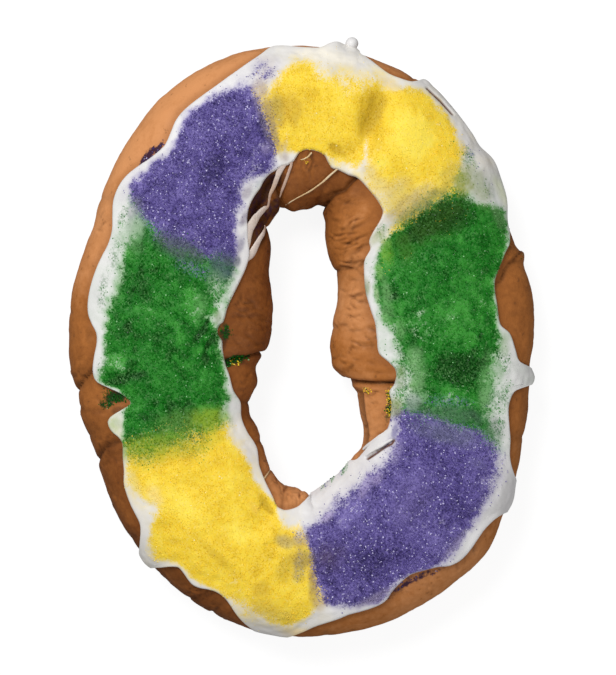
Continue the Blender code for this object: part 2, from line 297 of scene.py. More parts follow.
# A shelf along the inner wall, where one roll of dough rests on another: (start, end, angle, drop in metres)
INNER_SHELF = (322.0, 349.0, 2.60, .0026)
WRINKLE_SEED, WRINKLE_TILT, WRINKLE_BEND = 71, .45, .0012
WRINKLE_LENGTHS, WRINKLE_WIDTHS = (.0022, .0060), (.0006, .0011)
# Patches of short wrinkles: (degrees, half-length, angle over the dome, half-height, how many, metres deep)
WRINKLE_PATCHES = (
    (59, 3.5, 2.1, .16, 9, .0009), (53, 4, 2.45, .3, 9, .0006), (47.5, 2.6, 2.28, .22, 9, .001),
    (43, 2, 2.45, .25, 6, .0006), (39.5, 2.4, 2.38, .24, 9, .0009), (34, 2.4, 2.45, .26, 11, .001),
    (27, 4, 2.5, .3, 6, .0004), (19.7, 2.6, 2.36, .22, 11, .0009), (12.5, 4, 2.45, .3, 8, .0005),
    (5.8, 3.6, 2.3, .22, 13, .001), (358, 3.5, 2.45, .35, 8, .0005), (354, 3, 2.3, .3, 5, .0005),
    (163, 3, 2.33, .16, 8, .0009), (169, 5, 2.45, .34, 16, .0006), (176, 4, 2.5, .34, 8, .0005),
    (186, 3, 2.45, .3, 7, .0005), (192, 4, 2.65, .3, 6, .0005), (150, 7, 2.7, .3, 6, .0003),
    (345, 3, 2.4, .2, 6, .0006), (337, 6, 2.3, .16, 8, .0005), (330, 8, 2.9, .16, 8, .0006),
    (250, 5, 2.5, .3, 6, .0004), (262, 6, 2.5, .35, 8, .0005), (222, 6, 2.8, .25, 6, .0004),
    (235, 6, 2.7, .25, 6, .0004), (88, 6, 1.98, .1, 12, .0007), (84, 12, 2.5, .35, 7, .0003),
    (187.6, 2.4, .32, .26, 12, .0008), (193.5, 2, .4, .4, 7, .0007), (202.6, 3, .5, .34, 12, .0008),
    (209, 4, .4, .4, 7, .0004), (155.5, 1.6, .5, .16, 5, .0006), (243, 4, .6, .28, 12, .0008),
    (250, 4, .3, .3, 6, .0005), (17, 2.4, .35, .35, 8, .0007), (6, 5, .45, .3, 8, .0004),
    (313, 4, .64, .12, 14, .0008), (303, 5, .75, .2, 8, .0004), (345, 6, .4, .3, 6, .0004),
    (178, 6, .4, .35, 8, .0003), (232, 6, .4, .35, 7, .0003), (260, 9, .2, .3, 7, .0003),
    (20, 40, -.5, .4, 26, .0005), (100, 40, -.5, .4, 26, .0005),
    (180, 40, -.5, .4, 26, .0005), (260, 40, -.5, .4, 26, .0005),
    (330, 30, -.5, .4, 20, .0005),
)
# How dark the crust is, 0 pale to 1 dark, round the outer and the inner wall, partly from how long each side
# baked and partly painted light and shade by how the wall faces the lamps: (degrees, tone)
OUTER_TONE = (
    (0, .6), (8, .58), (20, .7), (40, .55), (60, .35), (72, .3), (100, .02), (130, -.04), (150, .08),
    (166, .2), (173, .45), (180, .62), (190, .66), (200, .8), (215, .88), (245, .92), (256, .82),
    (270, .58), (285, .42), (300, .3), (315, .28), (330, .42), (345, .55),
)
INNER_TONE = (
    (0, .54), (10, .34), (25, .18), (38, .48), (44, .6), (48, .44), (54, .62), (60, .82), (68, .92),
    (80, .84), (95, .8), (110, .82), (125, .8), (140, .84), (160, .96), (180, .95), (200, .74), (215, .46),
    (228, .22), (240, .2), (250, .15), (265, -.06), (290, 0), (320, .12), (340, .14), (348, .3),
    (353, .42),
)
# Where sugar fell on the bare crust and its dye ran: (degrees, angle, half-length, half-height, amount)
PURPLE_SPILLS = (
    (139.5, .8, 2.6, .045, .9), (137.2, .86, 2.6, .055, 1), (134.6, .93, 2.4, .045, .8),
    (300.5, .94, 2.8, .08, .6), (303.8, .89, 3, .07, .6), (297.5, .93, 2, .06, .6),
    (307, .81, 2.2, .06, .5), (294, .87, 2, .06, .4),
)
GREEN_SPILLS = (
    (191.6, 1, 1.4, .2, .85), (192.9, .86, 1.2, .14, .7), (190.2, .88, .9, .09, .5),
    (181.6, 2.4, 1.7, .17, 1), (180.6, 2.58, 1.3, .1, .6), (183.2, 2.3, 1.5, .12, .8),
    (173, 2.1, 3, .1, .6), (346.4, 2.12, 2.6, .07, .8), (342, 2.14, 2.4, .07, .7),
    (347.2, 2.54, 1, .09, .5), (339, 2.18, 1.6, .06, .4),
)
# Where icing covers the crust, seen from above: (degrees, share of the band)
ICING_OUTER = (
    (2, .855), (4, .81), (8, .8), (13, .802), (16, .84), (18, .88), (20, .92), (24, .95), (26, 1),
    (33, 1.02), (37, 1.035), (41, 1.01), (43, 1.03), (50, 1.01), (55, 1.02), (59, 1.04), (60.7, 1),
    (62, .975), (65, .955), (67.5, .948), (70, .955), (72.5, .97), (74.5, .982), (76, .99), (77, 1.03),
    (79, 1.03), (81, 1.03), (83.5, 1.02), (85.5, .99), (87, .977), (89, .974), (92, .978), (95, .995),
    (98, .985), (100, .965), (103, .94), (107, .915), (110, .9), (115, .884), (124, .88), (127, .87),
    (130, .845), (133, .825), (135, .83), (138, .85), (141, .88), (144, .905), (147, .915), (150, .91),
    (153, .885), (156, .862), (159, .86), (162, .875), (165, .89), (170, .905), (174, .9), (176, .88),
    (178, .853), (180, .85), (183, .865), (186, .875), (188, .86), (189.5, .8), (191, .74), (193.3, .7),
    (194.6, .755), (195.8, .815), (197, .835), (199, .825), (200.5, .8), (202, .79), (205, .81), (208, .83),
    (211, .86), (215, .875), (220, .885), (222, .91), (224, .95), (226, .99), (228, 1.01), (229.5, 1),
    (231, .955), (232.5, .9), (234, .87), (239, .895), (241, .885), (243, .86), (245, .845), (247.5, .85),
    (250, .88), (253, .93), (256, .968), (260, 1), (264, 1), (267, .985), (270, .955), (273, .92),
    (276, .9), (280, .885), (283, .875), (290, .89), (293, .885), (296, .85), (299, .835), (302, .835),
    (305, .87), (308, .92), (310, .97), (313, 1), (320, 1), (323, 1.015), (325, 1.04), (327, 1.075),
    (329, 1.075), (331, 1.055), (333, 1.01), (335, .97), (337, .945), (340, .925), (343, .9), (346, .88),
    (348, .88), (350, .9), (351.2, .96), (352.4, 1), (353.4, 1), (354.6, .975), (356, .91),
    (358.5, .885),
)
ICING_INNER = (
    (0, .17), (5, .16), (10, .155), (15, .138), (22, .125), (30, .14), (33, .16), (35, .2), (38, .21),
    (40, .25), (42, .318), (44, .348), (54, .34), (60, .332), (64, .307), (70, .29), (73, .28), (76, .3),
    (79, .33), (88, .34), (92, .325), (94, .3), (96, .275), (98, .268), (100, .262), (103, .268),
    (107, .266), (111, .268), (115, .262), (119, .248), (124, .245), (129, .235), (133, .212), (136, .185),
    (139, .165), (142, .142), (145, .128), (150, .13), (155, .145), (160, .165), (165, .188), (170, .203),
    (171.5, .222), (174, .228), (176, .205), (179, .2), (184, .185), (187, .17), (192, .155), (196, .13),
    (202, .135), (208, .115), (212, .095), (216, .087), (223, .1), (240, .1), (245, .11), (250, .095),
    (253, .075), (256, .05), (260, .02), (263, 0), (267, -.025), (272, -.05), (277, -.067), (282, -.075),
    (290, -.065), (295, -.05), (300, -.035), (305, -.015), (310, .02), (315, .055), (318, .07), (321, .13),
    (325, .16), (330, .19), (333, .22), (336, .255), (342, .257), (345, .25), (348, .235), (350.5, .257),
    (354.5, .257), (357, .22),
)
# Where it runs over the widest place it stops a little above it: (degrees, angle up the dome in radians)
ICING_LIP = (
    (26, .26), (31, .15), (38, .1), (45, .2), (51, .11), (57, .1), (61, .12), (70, .3), (77, .12),
    (83, .24), (87, .34), (91, .34), (96, .24), (228, .2), (262, .22), (288, .14), (311, .26), (320, .22),
    (328, .1), (336, .28), (348, .28), (352.8, .1), (357.5, .27),
)
# How deep the icing lies in the crust, how many radians inside its edge that depth comes in, and how far
# beside its edge the crust is darker, partly damp and partly painted shadow of the icing
ICING_WEIGHT, ICED_FADE, DAMP_AND_SHADOW_REACH = 0.0022, (0.05, 0.16), 0.10
# Places in deep shade, painted dark as shade and stained: (degrees, share, half-length, half-width, amount)
DARK_HOLLOWS = (
    (117, .225, 20, .085, 1), (127, .205, 13, .05, 1), (108, .215, 9, .07, .75),
    (133, .115, 13, .072, 1), (124, .135, 9, .066, 1), (118, .11, 9, .06, .9),
    (191.3, .765, 2.3, .075, 1), (194.6, .775, 1.6, .05, .55), (175.5, .205, 5, .035, .9),
    (182.6, .12, 1.8, .07, .8), (235.5, .92, 5, .05, .35), (246, .885, 5, .05, .3),
    (297, .865, 4, .03, .4), (202.5, .86, 2.5, .05, .35), (178.5, .89, 3, .03, .25),
)


def around_ring(points, degrees, column=1):
    """Closed curve through (degrees, value) points: cubic pieces, each slope from the two neighbours."""
    at = np.array([point[0] for point in points], dtype=float)
    value = np.array([point[column] for point in points], dtype=float)
    at = np.concatenate((at[-2:] - 360.0, at, at[:2] + 360.0))
    value = np.concatenate((value[-2:], value, value[:2]))
    slope = np.gradient(value) / np.gradient(at)
    turned = np.mod(degrees, 360.0)
    piece = np.clip(np.searchsorted(at, turned, side="right") - 1, 0, len(at) - 2)
    span = at[piece + 1] - at[piece]
    part = (turned - at[piece]) / span
    blend = part * part * (3.0 - 2.0 * part)
    leave = part * (1.0 - part) ** 2
    arrive = part * part * (1.0 - part)
    return (value[piece] * (1.0 - blend) + value[piece + 1] * blend
            + span * (slope[piece] * leave - slope[piece + 1] * arrive))


def on_band(degrees, share):
    """Plan position (x, y): the point at that share of the straight line from the inner to the outer rail."""
    turn = np.radians(degrees)
    (inner_x, inner_y), (outer_x, outer_y) = (
        (middle_x + half_x * np.cos(turn), middle_y + half_y * np.sin(turn))
        for middle_x, middle_y, half_x, half_y in (INNER_RAIL, OUTER_RAIL))
    return inner_x + share * (outer_x - inner_x), inner_y + share * (outer_y - inner_y)


def band_width(degrees):
    """Distance in plan between the two rails at that angle."""
    inner_x, inner_y = on_band(degrees, 0.0)
    outer_x, outer_y = on_band(degrees, 1.0)
    return np.hypot(outer_x - inner_x, outer_y - inner_y)


def turn_between(degrees, at):
    """Signed difference of two angles, between -180 and 180 degrees."""
    return (degrees - at + 180.0) % 360.0 - 180.0


def bell(reach):
    """A cosine bell: 1 where the reach is 0, and 0 where it is 1 or more."""
    return 0.5 * (1.0 + np.cos(np.pi * np.minimum(reach, 1.0)))


def swell(degrees, share, values):
    """A cosine bell over an oval patch of the band: full in its middle, nothing at its edge."""
    at, middle, half_length, half_width, height = values
    reach = np.hypot(turn_between(degrees, at) / half_length, (share - middle) / half_width)
    return height * bell(reach)


def smooth_step(low, high, value):
    """Goes from 0 at low to 1 at high, level at both ends."""
    part = np.clip((value - low) / (high - low), 0.0, 1.0)
    return part * part * (3.0 - 2.0 * part)


def lumps(x, y, z, size, seed):
    """Noise from -1 to 1: random values at the corners of a lattice of that size, blended smoothly.

    A corner's value is a hash of its three whole numbers and the seed, stirred twice with large numbers.
    """
    scaled = (x / size, y / size, z / size)
    whole = [np.floor(value).astype(np.int64) for value in scaled]
    part = [value - floor for value, floor in zip(scaled, whole)]
    part = [value * value * (3.0 - 2.0 * value) for value in part]
    total = np.zeros(np.broadcast(x, y, z).shape)
    for corner in range(8):
        step = (corner & 1, (corner >> 1) & 1, corner >> 2)
        mixed, weight = 0, 1.0
        for axis, prime in enumerate(LATTICE_PRIMES):
            mixed = mixed ^ ((whole[axis] + step[axis]) * prime)
            weight = weight * (part[axis] if step[axis] else 1.0 - part[axis])
        mixed = mixed + seed * SEED_STRIDE
        for shift, stir in HASH_STIRS:
            mixed = ((mixed ^ (mixed >> shift)) * stir) & HASH_TOP
        total = total + weight * (mixed / (HASH_TOP // 2) - 1.0)
    return total


def layered_lumps(x, y, z, layers, total=0.0):
    """Sum of several layers of that noise, each given as (weight, size, seed)."""
    for weight, size, seed in layers:
        total = total + weight * lumps(x, y, z, size, seed)
    return total


def dome_share(degrees, angle):
    """Share of the band at an angle over the superellipse, 0 at the outer and pi at the inner side."""
    outer = around_ring(DOUGH_OUTER, degrees)
    inner = around_ring(DOUGH_INNER, degrees)
    across = np.sign(np.cos(angle)) * np.abs(np.cos(angle)) ** (2.0 / DOME_EXPONENT)
    return 0.5 * (outer + inner) + 0.5 * (outer - inner) * across


def dome_angle(degrees, share):
    """The angle over the dome at which the superellipse has that share of the band."""
    outer = around_ring(DOUGH_OUTER, degrees)
    inner = around_ring(DOUGH_INNER, degrees)
    across = np.clip((share - 0.5 * (outer + inner)) / (0.5 * (outer - inner)), -1.0, 1.0)
    return np.arccos(np.sign(across) * np.abs(across) ** (0.5 * DOME_EXPONENT))


def icing_edges(degrees):
    """Angles over the dome of the icing's outer and inner edge, kept above the widest place of the dough."""
    lip = around_ring(ICING_LIP, degrees)
    outer = np.maximum(dome_angle(degrees, around_ring(ICING_OUTER, degrees)), lip)
    inner = np.minimum(dome_angle(degrees, around_ring(ICING_INNER, degrees)), np.pi - lip)
    return outer, inner


def dome(degrees, angle, hollow_depth=0.0):
    """Points over the dome: a superellipse from the widest place to the crown, with the swells on it."""
    share = dome_share(degrees, angle)
    rise = np.abs(np.sin(angle)) ** (2.0 / DOME_EXPONENT)
    height = WIDEST_HEIGHT + (around_ring(CROWN_HEIGHTS, degrees) - WIDEST_HEIGHT) * rise
    for values in SWELLS:
        height = height + rise * swell(degrees, share, values)
    height = height + hollow_depth * swell(degrees, share, HOLLOW[:4] + (1.0,))
    x, y = on_band(degrees, share)
    return np.stack((x, y, height), axis=-1)


def unit(vectors):
    """Vectors drawn out or in to a length of 1."""
    return vectors / np.maximum(np.linalg.norm(vectors, axis=-1, keepdims=True), 1e-12)


def section_normals(points):
    """Outward normals of a grid that closes around the ring and across its section."""
    along = np.roll(points, -1, axis=0) - np.roll(points, 1, axis=0)
    across = np.roll(points, -1, axis=1) - np.roll(points, 1, axis=1)
    return unit(np.cross(along, across))


def ring_mesh(name, points):
    """A mesh of quads from a grid of points that closes around the ring and across its section."""
    rows, columns = points.shape[:2]
    row = np.arange(rows)[:, None]
    column = np.arange(columns)[None, :]
    beside = (column + 1) % columns
    ahead = (row + 1) % rows
    quads = np.stack((row * columns + column, ahead * columns + column,
                      ahead * columns + beside, row * columns + beside), axis=-1)
    return quad_mesh(name, points.reshape(-1, 3), quads.reshape(-1, 4))


def quad_mesh(name, points, quads):
    """A smooth-shaded mesh from an array of points and an array of four-cornered faces."""
    mesh = bpy.data.meshes.new(name)
    mesh.vertices.add(len(points))
    mesh.vertices.foreach_set("co", points.astype(np.float32).ravel())
    mesh.loops.add(quads.size)
    mesh.loops.foreach_set("vertex_index", quads.astype(np.int32).ravel())
    mesh.polygons.add(len(quads))
    mesh.polygons.foreach_set("loop_start", np.arange(0, quads.size, 4, dtype=np.int32))
    mesh.update(calc_edges=True)
    mesh.validate()
    mesh.shade_smooth()
    return mesh


def paint_attribute(mesh, name, values):
    """Stores one number for each vertex, for the material to read."""
    layer = mesh.attributes.new(name, "FLOAT", "POINT")
    layer.data.foreach_set("value", values.astype(np.float32).ravel())


def new_piece(mesh, finish):
    """An object of that mesh and material, carried by the part's one body."""
    piece = bpy.data.objects.new(mesh.name, mesh)
    mesh.materials.append(finish)
    bpy.context.scene.collection.objects.link(piece)
    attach(piece, "root")
    return piece


def fold_relief(degrees, angle, metres_per_degree, folds):
    """Height of the folds, and the painted shade in their creases.

    Across a fold's line the crust falls exponentially to the crease and rises on the side ahead by its lift,
    which dies away over a few widths. Both fade at the two ends of the line.
    """
    height = np.zeros(np.broadcast(degrees, angle).shape)
    shade = np.zeros_like(height)
    for line, depth, half_width, lift in folds:
        line_degrees, line_angles = (np.array(values, dtype=float) for values in zip(*line))
        line_degrees = line_degrees[0] + turn_between(line_degrees, line_degrees[0])
        away = turn_between(degrees, np.interp(angle, line_angles, line_degrees)) * metres_per_degree
        here = smooth_step(line_angles[0] - .14, line_angles[0] + .06, angle)
        here = here * smooth_step(line_angles[-1] + .14, line_angles[-1] - .06, angle)
        crease_and_shade = np.exp(-np.abs(away) / half_width)
        rise = lift * smooth_step(-half_width, half_width, away)
        rise = rise * np.exp(-np.maximum(away, 0) / (7 * half_width))
        height = height + here * (rise - depth * crease_and_shade)
        shade = np.maximum(shade, here * crease_and_shade * min(1.0, depth / DARKEST_FOLD))
    return height, shade


def wrinkle_relief(points, degrees, patches, dice):
    """Short wrinkles: each a bent groove with a ridge beside it, bell-shaped along and across its run."""
    height = np.zeros(points.shape[:2])
    for at, half_length, angle, half_height, count, depth in patches:
        rows = np.flatnonzero(np.abs(turn_between(degrees[:, 0], at)) < half_length + 5.0)
        for _ in range(count):
            mark_at = at + half_length * dice.uniform(-1, 1)
            mark_angle = angle + half_height * dice.uniform(-1, 1)
            centre = wall_point(mark_at, mark_angle)
            along = wall_point(mark_at + 0.5, mark_angle) - centre
            across = wall_point(mark_at, mark_angle + 0.02) - centre
            along, across = along / np.linalg.norm(along), across / np.linalg.norm(across)
            tilt, bend = dice.normal(0, WRINKLE_TILT), dice.normal(0, WRINKLE_BEND)
            length, width = dice.uniform(*WRINKLE_LENGTHS), dice.uniform(*WRINKLE_WIDTHS)
            offset = points[rows] - centre
            run = offset @ (across * math.cos(tilt) + along * math.sin(tilt))
            off = offset @ (along * math.cos(tilt) - across * math.sin(tilt)) + bend * (run / length) ** 2
            groove = 0.55 * np.exp(-((off - 2.1 * width) / (1.3 * width)) ** 2) - np.exp(-(off / width) ** 2)
            height[rows] += depth * dice.uniform(.5, 1.1) * groove * np.exp(-(run / length) ** 2)
    return height


def wall_point(at, angle):
    """A point on the dome, or for an angle below 0 on the outer wall under it."""
    at = np.array([at])
    if angle >= 0:
        return dome(at, np.array([angle]))[0]
    share = around_ring(DOUGH_OUTER, at) - FOOT_INSET / band_width(at) * (1 - math.cos(angle))
    x, y = on_band(at, share)
    return np.array((x[0], y[0], WIDEST_HEIGHT * (1 + math.sin(angle))))


def patch_amount(degrees, angle, patches):
    """Greatest of several oval patches, each given as (degrees, angle, half-length, half-height, amount)."""
    amount = np.zeros(np.broadcast(degrees, angle).shape)
    for at, middle, half_length, half_height, strength in patches:
        reach = np.hypot(turn_between(degrees, at) / half_length, (angle - middle) / half_height)
        amount = np.maximum(amount, strength * smooth_step(1.25, 0.45, reach))
    return amount


dough_degrees = (np.arange(DOUGH_STATIONS) * 360.0 / DOUGH_STATIONS)[:, None]
top_angles = np.concatenate((
    np.linspace(0, CROWN_START, OUTER_ROWS, endpoint=False),
    np.linspace(CROWN_START, CROWN_END, CROWN_ROWS, endpoint=False), np.linspace(CROWN_END, 180, INNER_ROWS)))
top_angles = np.radians(top_angles)[None, :]
dough_top = dome(dough_degrees, top_angles, HOLLOW[4])
inner_down = np.linspace(0, 0.5 * np.pi, FOOT_ROWS)[None, 1:]
outer_up = np.linspace(0.5 * np.pi, 0, FOOT_ROWS, endpoint=False)[None, :]
base_across = np.linspace(0, 1, BASE_ROWS)[None, 1:-1]
foot_share = FOOT_INSET / band_width(dough_degrees)
dough_outer = around_ring(DOUGH_OUTER, dough_degrees)
dough_inner = around_ring(DOUGH_INNER, dough_degrees)
lower_share = np.hstack((
    dough_inner + foot_share * (1 - np.cos(inner_down)),
    dough_inner + foot_share + (dough_outer - dough_inner - 2 * foot_share) * base_across,
    dough_outer - foot_share * (1 - np.cos(outer_up))))
lower_height = np.hstack((
    WIDEST_HEIGHT * (1 - np.sin(inner_down)) + 0 * dough_inner,
    0 * dough_inner * base_across,
    WIDEST_HEIGHT * (1 - np.sin(outer_up)) + 0 * dough_inner))
lower_x, lower_y = on_band(dough_degrees, lower_share)
dough_points = np.concatenate((dough_top, np.stack((lower_x, lower_y, lower_height), axis=-1)), axis=1)
dough_normals = section_normals(dough_points)

# Relief of the crust: broad lumps, folds, wrinkles and a fine crumpled skin.
wall_turn = np.concatenate((top_angles, np.pi + inner_down, np.full_like(base_across, 1.5 * np.pi),
                            -outer_up), axis=1)
# Shares of the outer and of the inner wall, by the angle over the dome in radians.
outer_side = smooth_step(1.25, 0.8, wall_turn) * (wall_turn < 3.5)
inner_side = smooth_step(1.6, 1.9, wall_turn)
two_stations = np.roll(dough_points, -1, axis=0) - np.roll(dough_points, 1, axis=0)
metres_per_degree = np.linalg.norm(two_stations, axis=-1) * DOUGH_STATIONS / (2 * 360.0)
px, py, pz = (dough_points[..., axis] for axis in range(3))
off_base = smooth_step(*BASE_FADE, pz)
relief = layered_lumps(px, py, pz, CRUST_LUMPS)
outer_fold, outer_shade = fold_relief(dough_degrees, wall_turn, metres_per_degree, OUTER_FOLDS)
inner_fold, inner_shade = fold_relief(dough_degrees, wall_turn, metres_per_degree, INNER_FOLDS)
relief = relief + outer_fold * outer_side + inner_fold * inner_side
wrinkled = wrinkle_relief(dough_points, dough_degrees, WRINKLE_PATCHES, np.random.default_rng(WRINKLE_SEED))
relief = relief + wrinkled
shelf_start, shelf_end, shelf_angle, shelf_depth = INNER_SHELF
shelf_here = smooth_step(shelf_start, shelf_start + 5, dough_degrees)
shelf_here = shelf_here * smooth_step(shelf_end, shelf_end - 3, dough_degrees)
shelf_drop = shelf_here * smooth_step(shelf_angle - .02, shelf_angle + .14, wall_turn)
relief = relief - shelf_depth * shelf_drop
skin = np.abs(lumps(px, py, pz, SKIN_SIZE, 3))
relief = relief + SKIN_HEIGHT * skin + PORE_HEIGHT * lumps(px, py, pz, PORE_SIZE, 5)
dough_share = np.concatenate((dome_share(dough_degrees, top_angles), lower_share), axis=1)
# Under the icing the crust lies lower and smooth.
icing_starts, icing_stops = icing_edges(dough_degrees)
iced_over = smooth_step(*ICED_FADE, wall_turn - icing_starts)
iced_over = iced_over * smooth_step(*ICED_FADE, icing_stops - wall_turn)
relief = relief * (1 - iced_over) - ICING_WEIGHT * iced_over
dough_points = dough_points + dough_normals * (relief * off_base)[..., None]
dough_points[..., 2] = np.maximum(dough_points[..., 2], 0.0)
dough_normals = section_normals(dough_points)
dough_mesh = ring_mesh("baked_dough_ring", dough_points)

# Painted shade: creases are darker the deeper they are: hollows, wrinkles, the shelf's foot and the folds.
hollow_shade = np.zeros_like(relief)
for *patch, shade in DARK_HOLLOWS:
    shade_here = smooth_step(.05, .55, swell(dough_degrees, dough_share, patch + [1.0])) * shade
    hollow_shade = np.maximum(hollow_shade, shade_here * (wall_turn < np.pi) * (wall_turn > 0))
wrinkle_shade = np.clip(-wrinkled / DARKEST_WRINKLE, 0, 1) * WRINKLE_SHADE
shelf_shade = shelf_drop * smooth_step(shelf_angle + .50, shelf_angle + .10, wall_turn) * SHELF_SHADE
crease_and_shade = np.maximum.reduce((
    outer_shade * outer_side, inner_shade * inner_side, wrinkle_shade, hollow_shade, shelf_shade))
paint_attribute(dough_mesh, "crease_and_shade", np.clip(crease_and_shade, 0, 1))
# Crust tone: baked colour with painted light and shade by side, and the foot browned by the tray.
tone_outer = around_ring(OUTER_TONE, dough_degrees)
tone_inner = around_ring(INNER_TONE, dough_degrees)
wall_tone = tone_outer + (tone_inner - tone_outer) * smooth_step(1.2, 1.8, np.clip(wall_turn, 0, 3.5))
wall_tone = np.where(wall_turn < 0, tone_outer, wall_tone)
wall_tone = wall_tone + 0.25 * smooth_step(*TRAY_FADE, pz)
paint_attribute(dough_mesh, "bake_and_painted_light", np.clip(wall_tone, 0, 1))
purple_spill = patch_amount(dough_degrees, wall_turn, PURPLE_SPILLS)
green_spill = patch_amount(dough_degrees, wall_turn, GREEN_SPILLS)
# Purple dye ran down into the hollows under the icing strings, laid deepest where the painted shade is
# darkest.
purple_hollow = hollow_shade * smooth_step(95, 105, dough_degrees) * smooth_step(142, 132, dough_degrees)
paint_attribute(dough_mesh, "purple", np.maximum(purple_spill, HOLLOW_DYE * purple_hollow))
paint_attribute(dough_mesh, "green", green_spill)
# Beside the icing's edge the crust is darker: partly damp with syrup, partly painted shadow of the icing.
beside = np.maximum(icing_starts - wall_turn, wall_turn - icing_stops)
damp_and_shadow = np.exp(-(np.maximum(beside, 0) / DAMP_AND_SHADOW_REACH) ** 2) * (wall_turn > 0.05) * (wall_turn < 3.1)
paint_attribute(dough_mesh, "damp_and_shadow", damp_and_shadow)

# Baked crust: pale to dark brown, partly by how long each side baked and partly painted light and shade by
# how each wall faces the lamps, mottled broad and fine, darker beside the icing with damp and painted shadow,
# near black with painted shade in creases, with a fine pitted bump and an egg-wash sheen. Spilt sugar has
# stained it purple or green in places.
CRUST_PALE = (0.70, 0.305, 0.118, 1.0)
CRUST_BROWN = (0.43, 0.152, 0.036, 1.0)
CRUST_DARK = (0.205, 0.064, 0.014, 1.0)
CREASE_SHADE_BROWN = (0.050, 0.017, 0.005, 1.0)
PURPLE_STAIN = (0.045, 0.014, 0.034, 1.0)
GREEN_STAIN = (0.014, 0.036, 0.005, 1.0)


def new_group(name, numbers_in, colours_in, numbers_out, colours_out):
    """An empty node group with sockets of those names, its graph, its inputs and its output node."""
    group = bpy.data.node_groups.new(name, "ShaderNodeTree")
    for names, side, kind in ((numbers_in, "INPUT", "Float"), (colours_in, "INPUT", "Color"),
                              (numbers_out, "OUTPUT", "Float"), (colours_out, "OUTPUT", "Color")):
        for socket_name in names:
            group.interface.new_socket(socket_name, in_out=side, socket_type="NodeSocket" + kind)
    return group, Graph(group), group.nodes.new("NodeGroupInput").outputs, group.nodes.new("NodeGroupOutput")


# Mottle: three sizes of soft noise in the piece's own coordinates, each stretched to fill 0 to 1.
MOTTLE_SIZES = ("Broad", "Fine", "Grit")
mottle_scales = [size + " Scale" for size in MOTTLE_SIZES]
mottle, graph, given, out = new_group("mottle", mottle_scales, (), MOTTLE_SIZES, ())
object_place = graph.add("TexCoord")["Object"]
for size, scale in zip(MOTTLE_SIZES, mottle_scales):
    noise = graph.add("TexNoise", Detail=3.0, Roughness=0.6, Vector=object_place, Scale=given[scale])["Fac"]
    graph.connect(graph.spread(noise, 0.30, 0.70), out.inputs[size])

crust, graph, shader = new_finish("baked_crust")
marks = graph.group(mottle, Broad_Scale=34.0, Fine_Scale=260.0, Grit_Scale=900.0)
tone = graph.math("ADD", graph.read("bake_and_painted_light"), graph.swing(marks["Broad"], 0.14))
tone = graph.math("ADD", tone, graph.swing(marks["Fine"], 0.10))
colour = graph.mix(graph.spread(tone, 0.0, 0.5), CRUST_PALE, CRUST_BROWN)
colour = graph.mix(graph.spread(tone, 0.5, 1.0), colour, CRUST_DARK)
# Painted shade: darker beside the icing's edge, where damp also darkens it, and near black in the creases.
for mark_name, share, mark_colour in (("damp_and_shadow", 0.45, CRUST_DARK), ("crease_and_shade", 0.85, CREASE_SHADE_BROWN)):
    colour = graph.mix(graph.math("MULTIPLY", graph.read(mark_name), share), colour, mark_colour)
ragged = graph.swing(marks["Fine"], 0.55)
for stain_name, stain in (("purple", PURPLE_STAIN), ("green", GREEN_STAIN)):
    stained = graph.math("ADD", graph.math("MULTIPLY", graph.read(stain_name), 1.6), ragged)
    colour = graph.mix(graph.spread(stained, 0.45, 1.1), colour, stain)
pits = graph.bump(graph.math("ADD", marks["Fine"], marks["Grit"]), strength=0.13, distance=0.0008)
graph.fill(shader, Base_Color=colour, Roughness=graph.between(marks["Fine"], 0.44, 0.60),
           Specular_IOR_Level=0.14, Normal=pits)
dough = new_piece(dough_mesh, crust)
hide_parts("dough_ring")


# Icing sheet.
# Thick white sugar icing poured over the warm ring: it follows the dome, runs into lobes and drips at both
# edges, and sets with a rounded lip. The coloured sugar that stuck to it is its upper skin.
ICING_THICK = 0.0020
ICING_SUNK = 0.0010
ICING_THINNEST = 0.0006
LIP_RADIUS = 0.0024
# Distances from the edge between which the smooth lip turns to sugared skin
INLAND = (0.002, 0.009)
# Lumps in the sugared skin: (height in metres, size in metres, seed)
SUGAR_LUMPS = ((.00055, .014, 11), (.0003, .006, 12), (.00022, .0026, 13))
LIP_SWELL = 0.0004
LIP_LUMPS, LIP_LUMP_SIZE = 0.0003, 0.010
LIP_REACH = 0.0035
DRIP_REACH = 0.009
ICING_STATIONS = 880
LIP_STEPS = 9
TOP_STEPS = 86
UNDER_STEPS = 6
# Fat drips: (degrees, half-length in degrees, 0 inner or 1 outer edge, extra metres)
FAT_DRIPS = (
    (77.8, 2.6, 1, .0028), (81.9, 4.5, 1, .0046), (59, 2, 1, .0008), (328, 4, 1, .0014),
    (352.8, 2.4, 1, .0019), (228, 3, 1, .0012), (262, 6, 1, .0005), (197, 3, 1, .0008),
    (147, 8, 1, .0004), (283, 8, 0, .0006), (344, 6, 0, .0006), (48, 8, 0, .0005),
    (168, 5, 0, .0006),
)
# Creases and ridges in the top: ((degrees, share), (degrees, share), depth, half-width in metres)
TOP_CREASES = (
    ((67, .9), (65, .52), .0016, .005), ((64, .72), (64.5, .48), .0012, .0018),
    ((67, .425), (78, .4), .0013, .0018), ((170.6, .28), (177.2, .352), .0016, .0013),
    ((174.4, .243), (181, .302), .0016, .0013), ((250, .4), (260, .3), .001, .003),
    ((260, .3), (270, .33), .001, .003), ((237, .21), (247, .18), .0016, .0026),
    ((353, .68), (356, .56), .0016, .0045), ((28, .8), (34, .5), .001, .005),
    ((300, .6), (306, .35), .0007, .005), ((215, .6), (222, .38), .0007, .005),
    ((323.4, .188), (328.6, .248), .002, .001), ((328.6, .248), (333.2, .306), .002, .001),
    ((50, .985), (58, .99), .0008, .0008), ((185.5, .6), (187.5, .8), .0013, .0035),
    ((58, .46), (61, .34), -.0008, .0022), ((44, .62), (39, .38), .0006, .003),
)
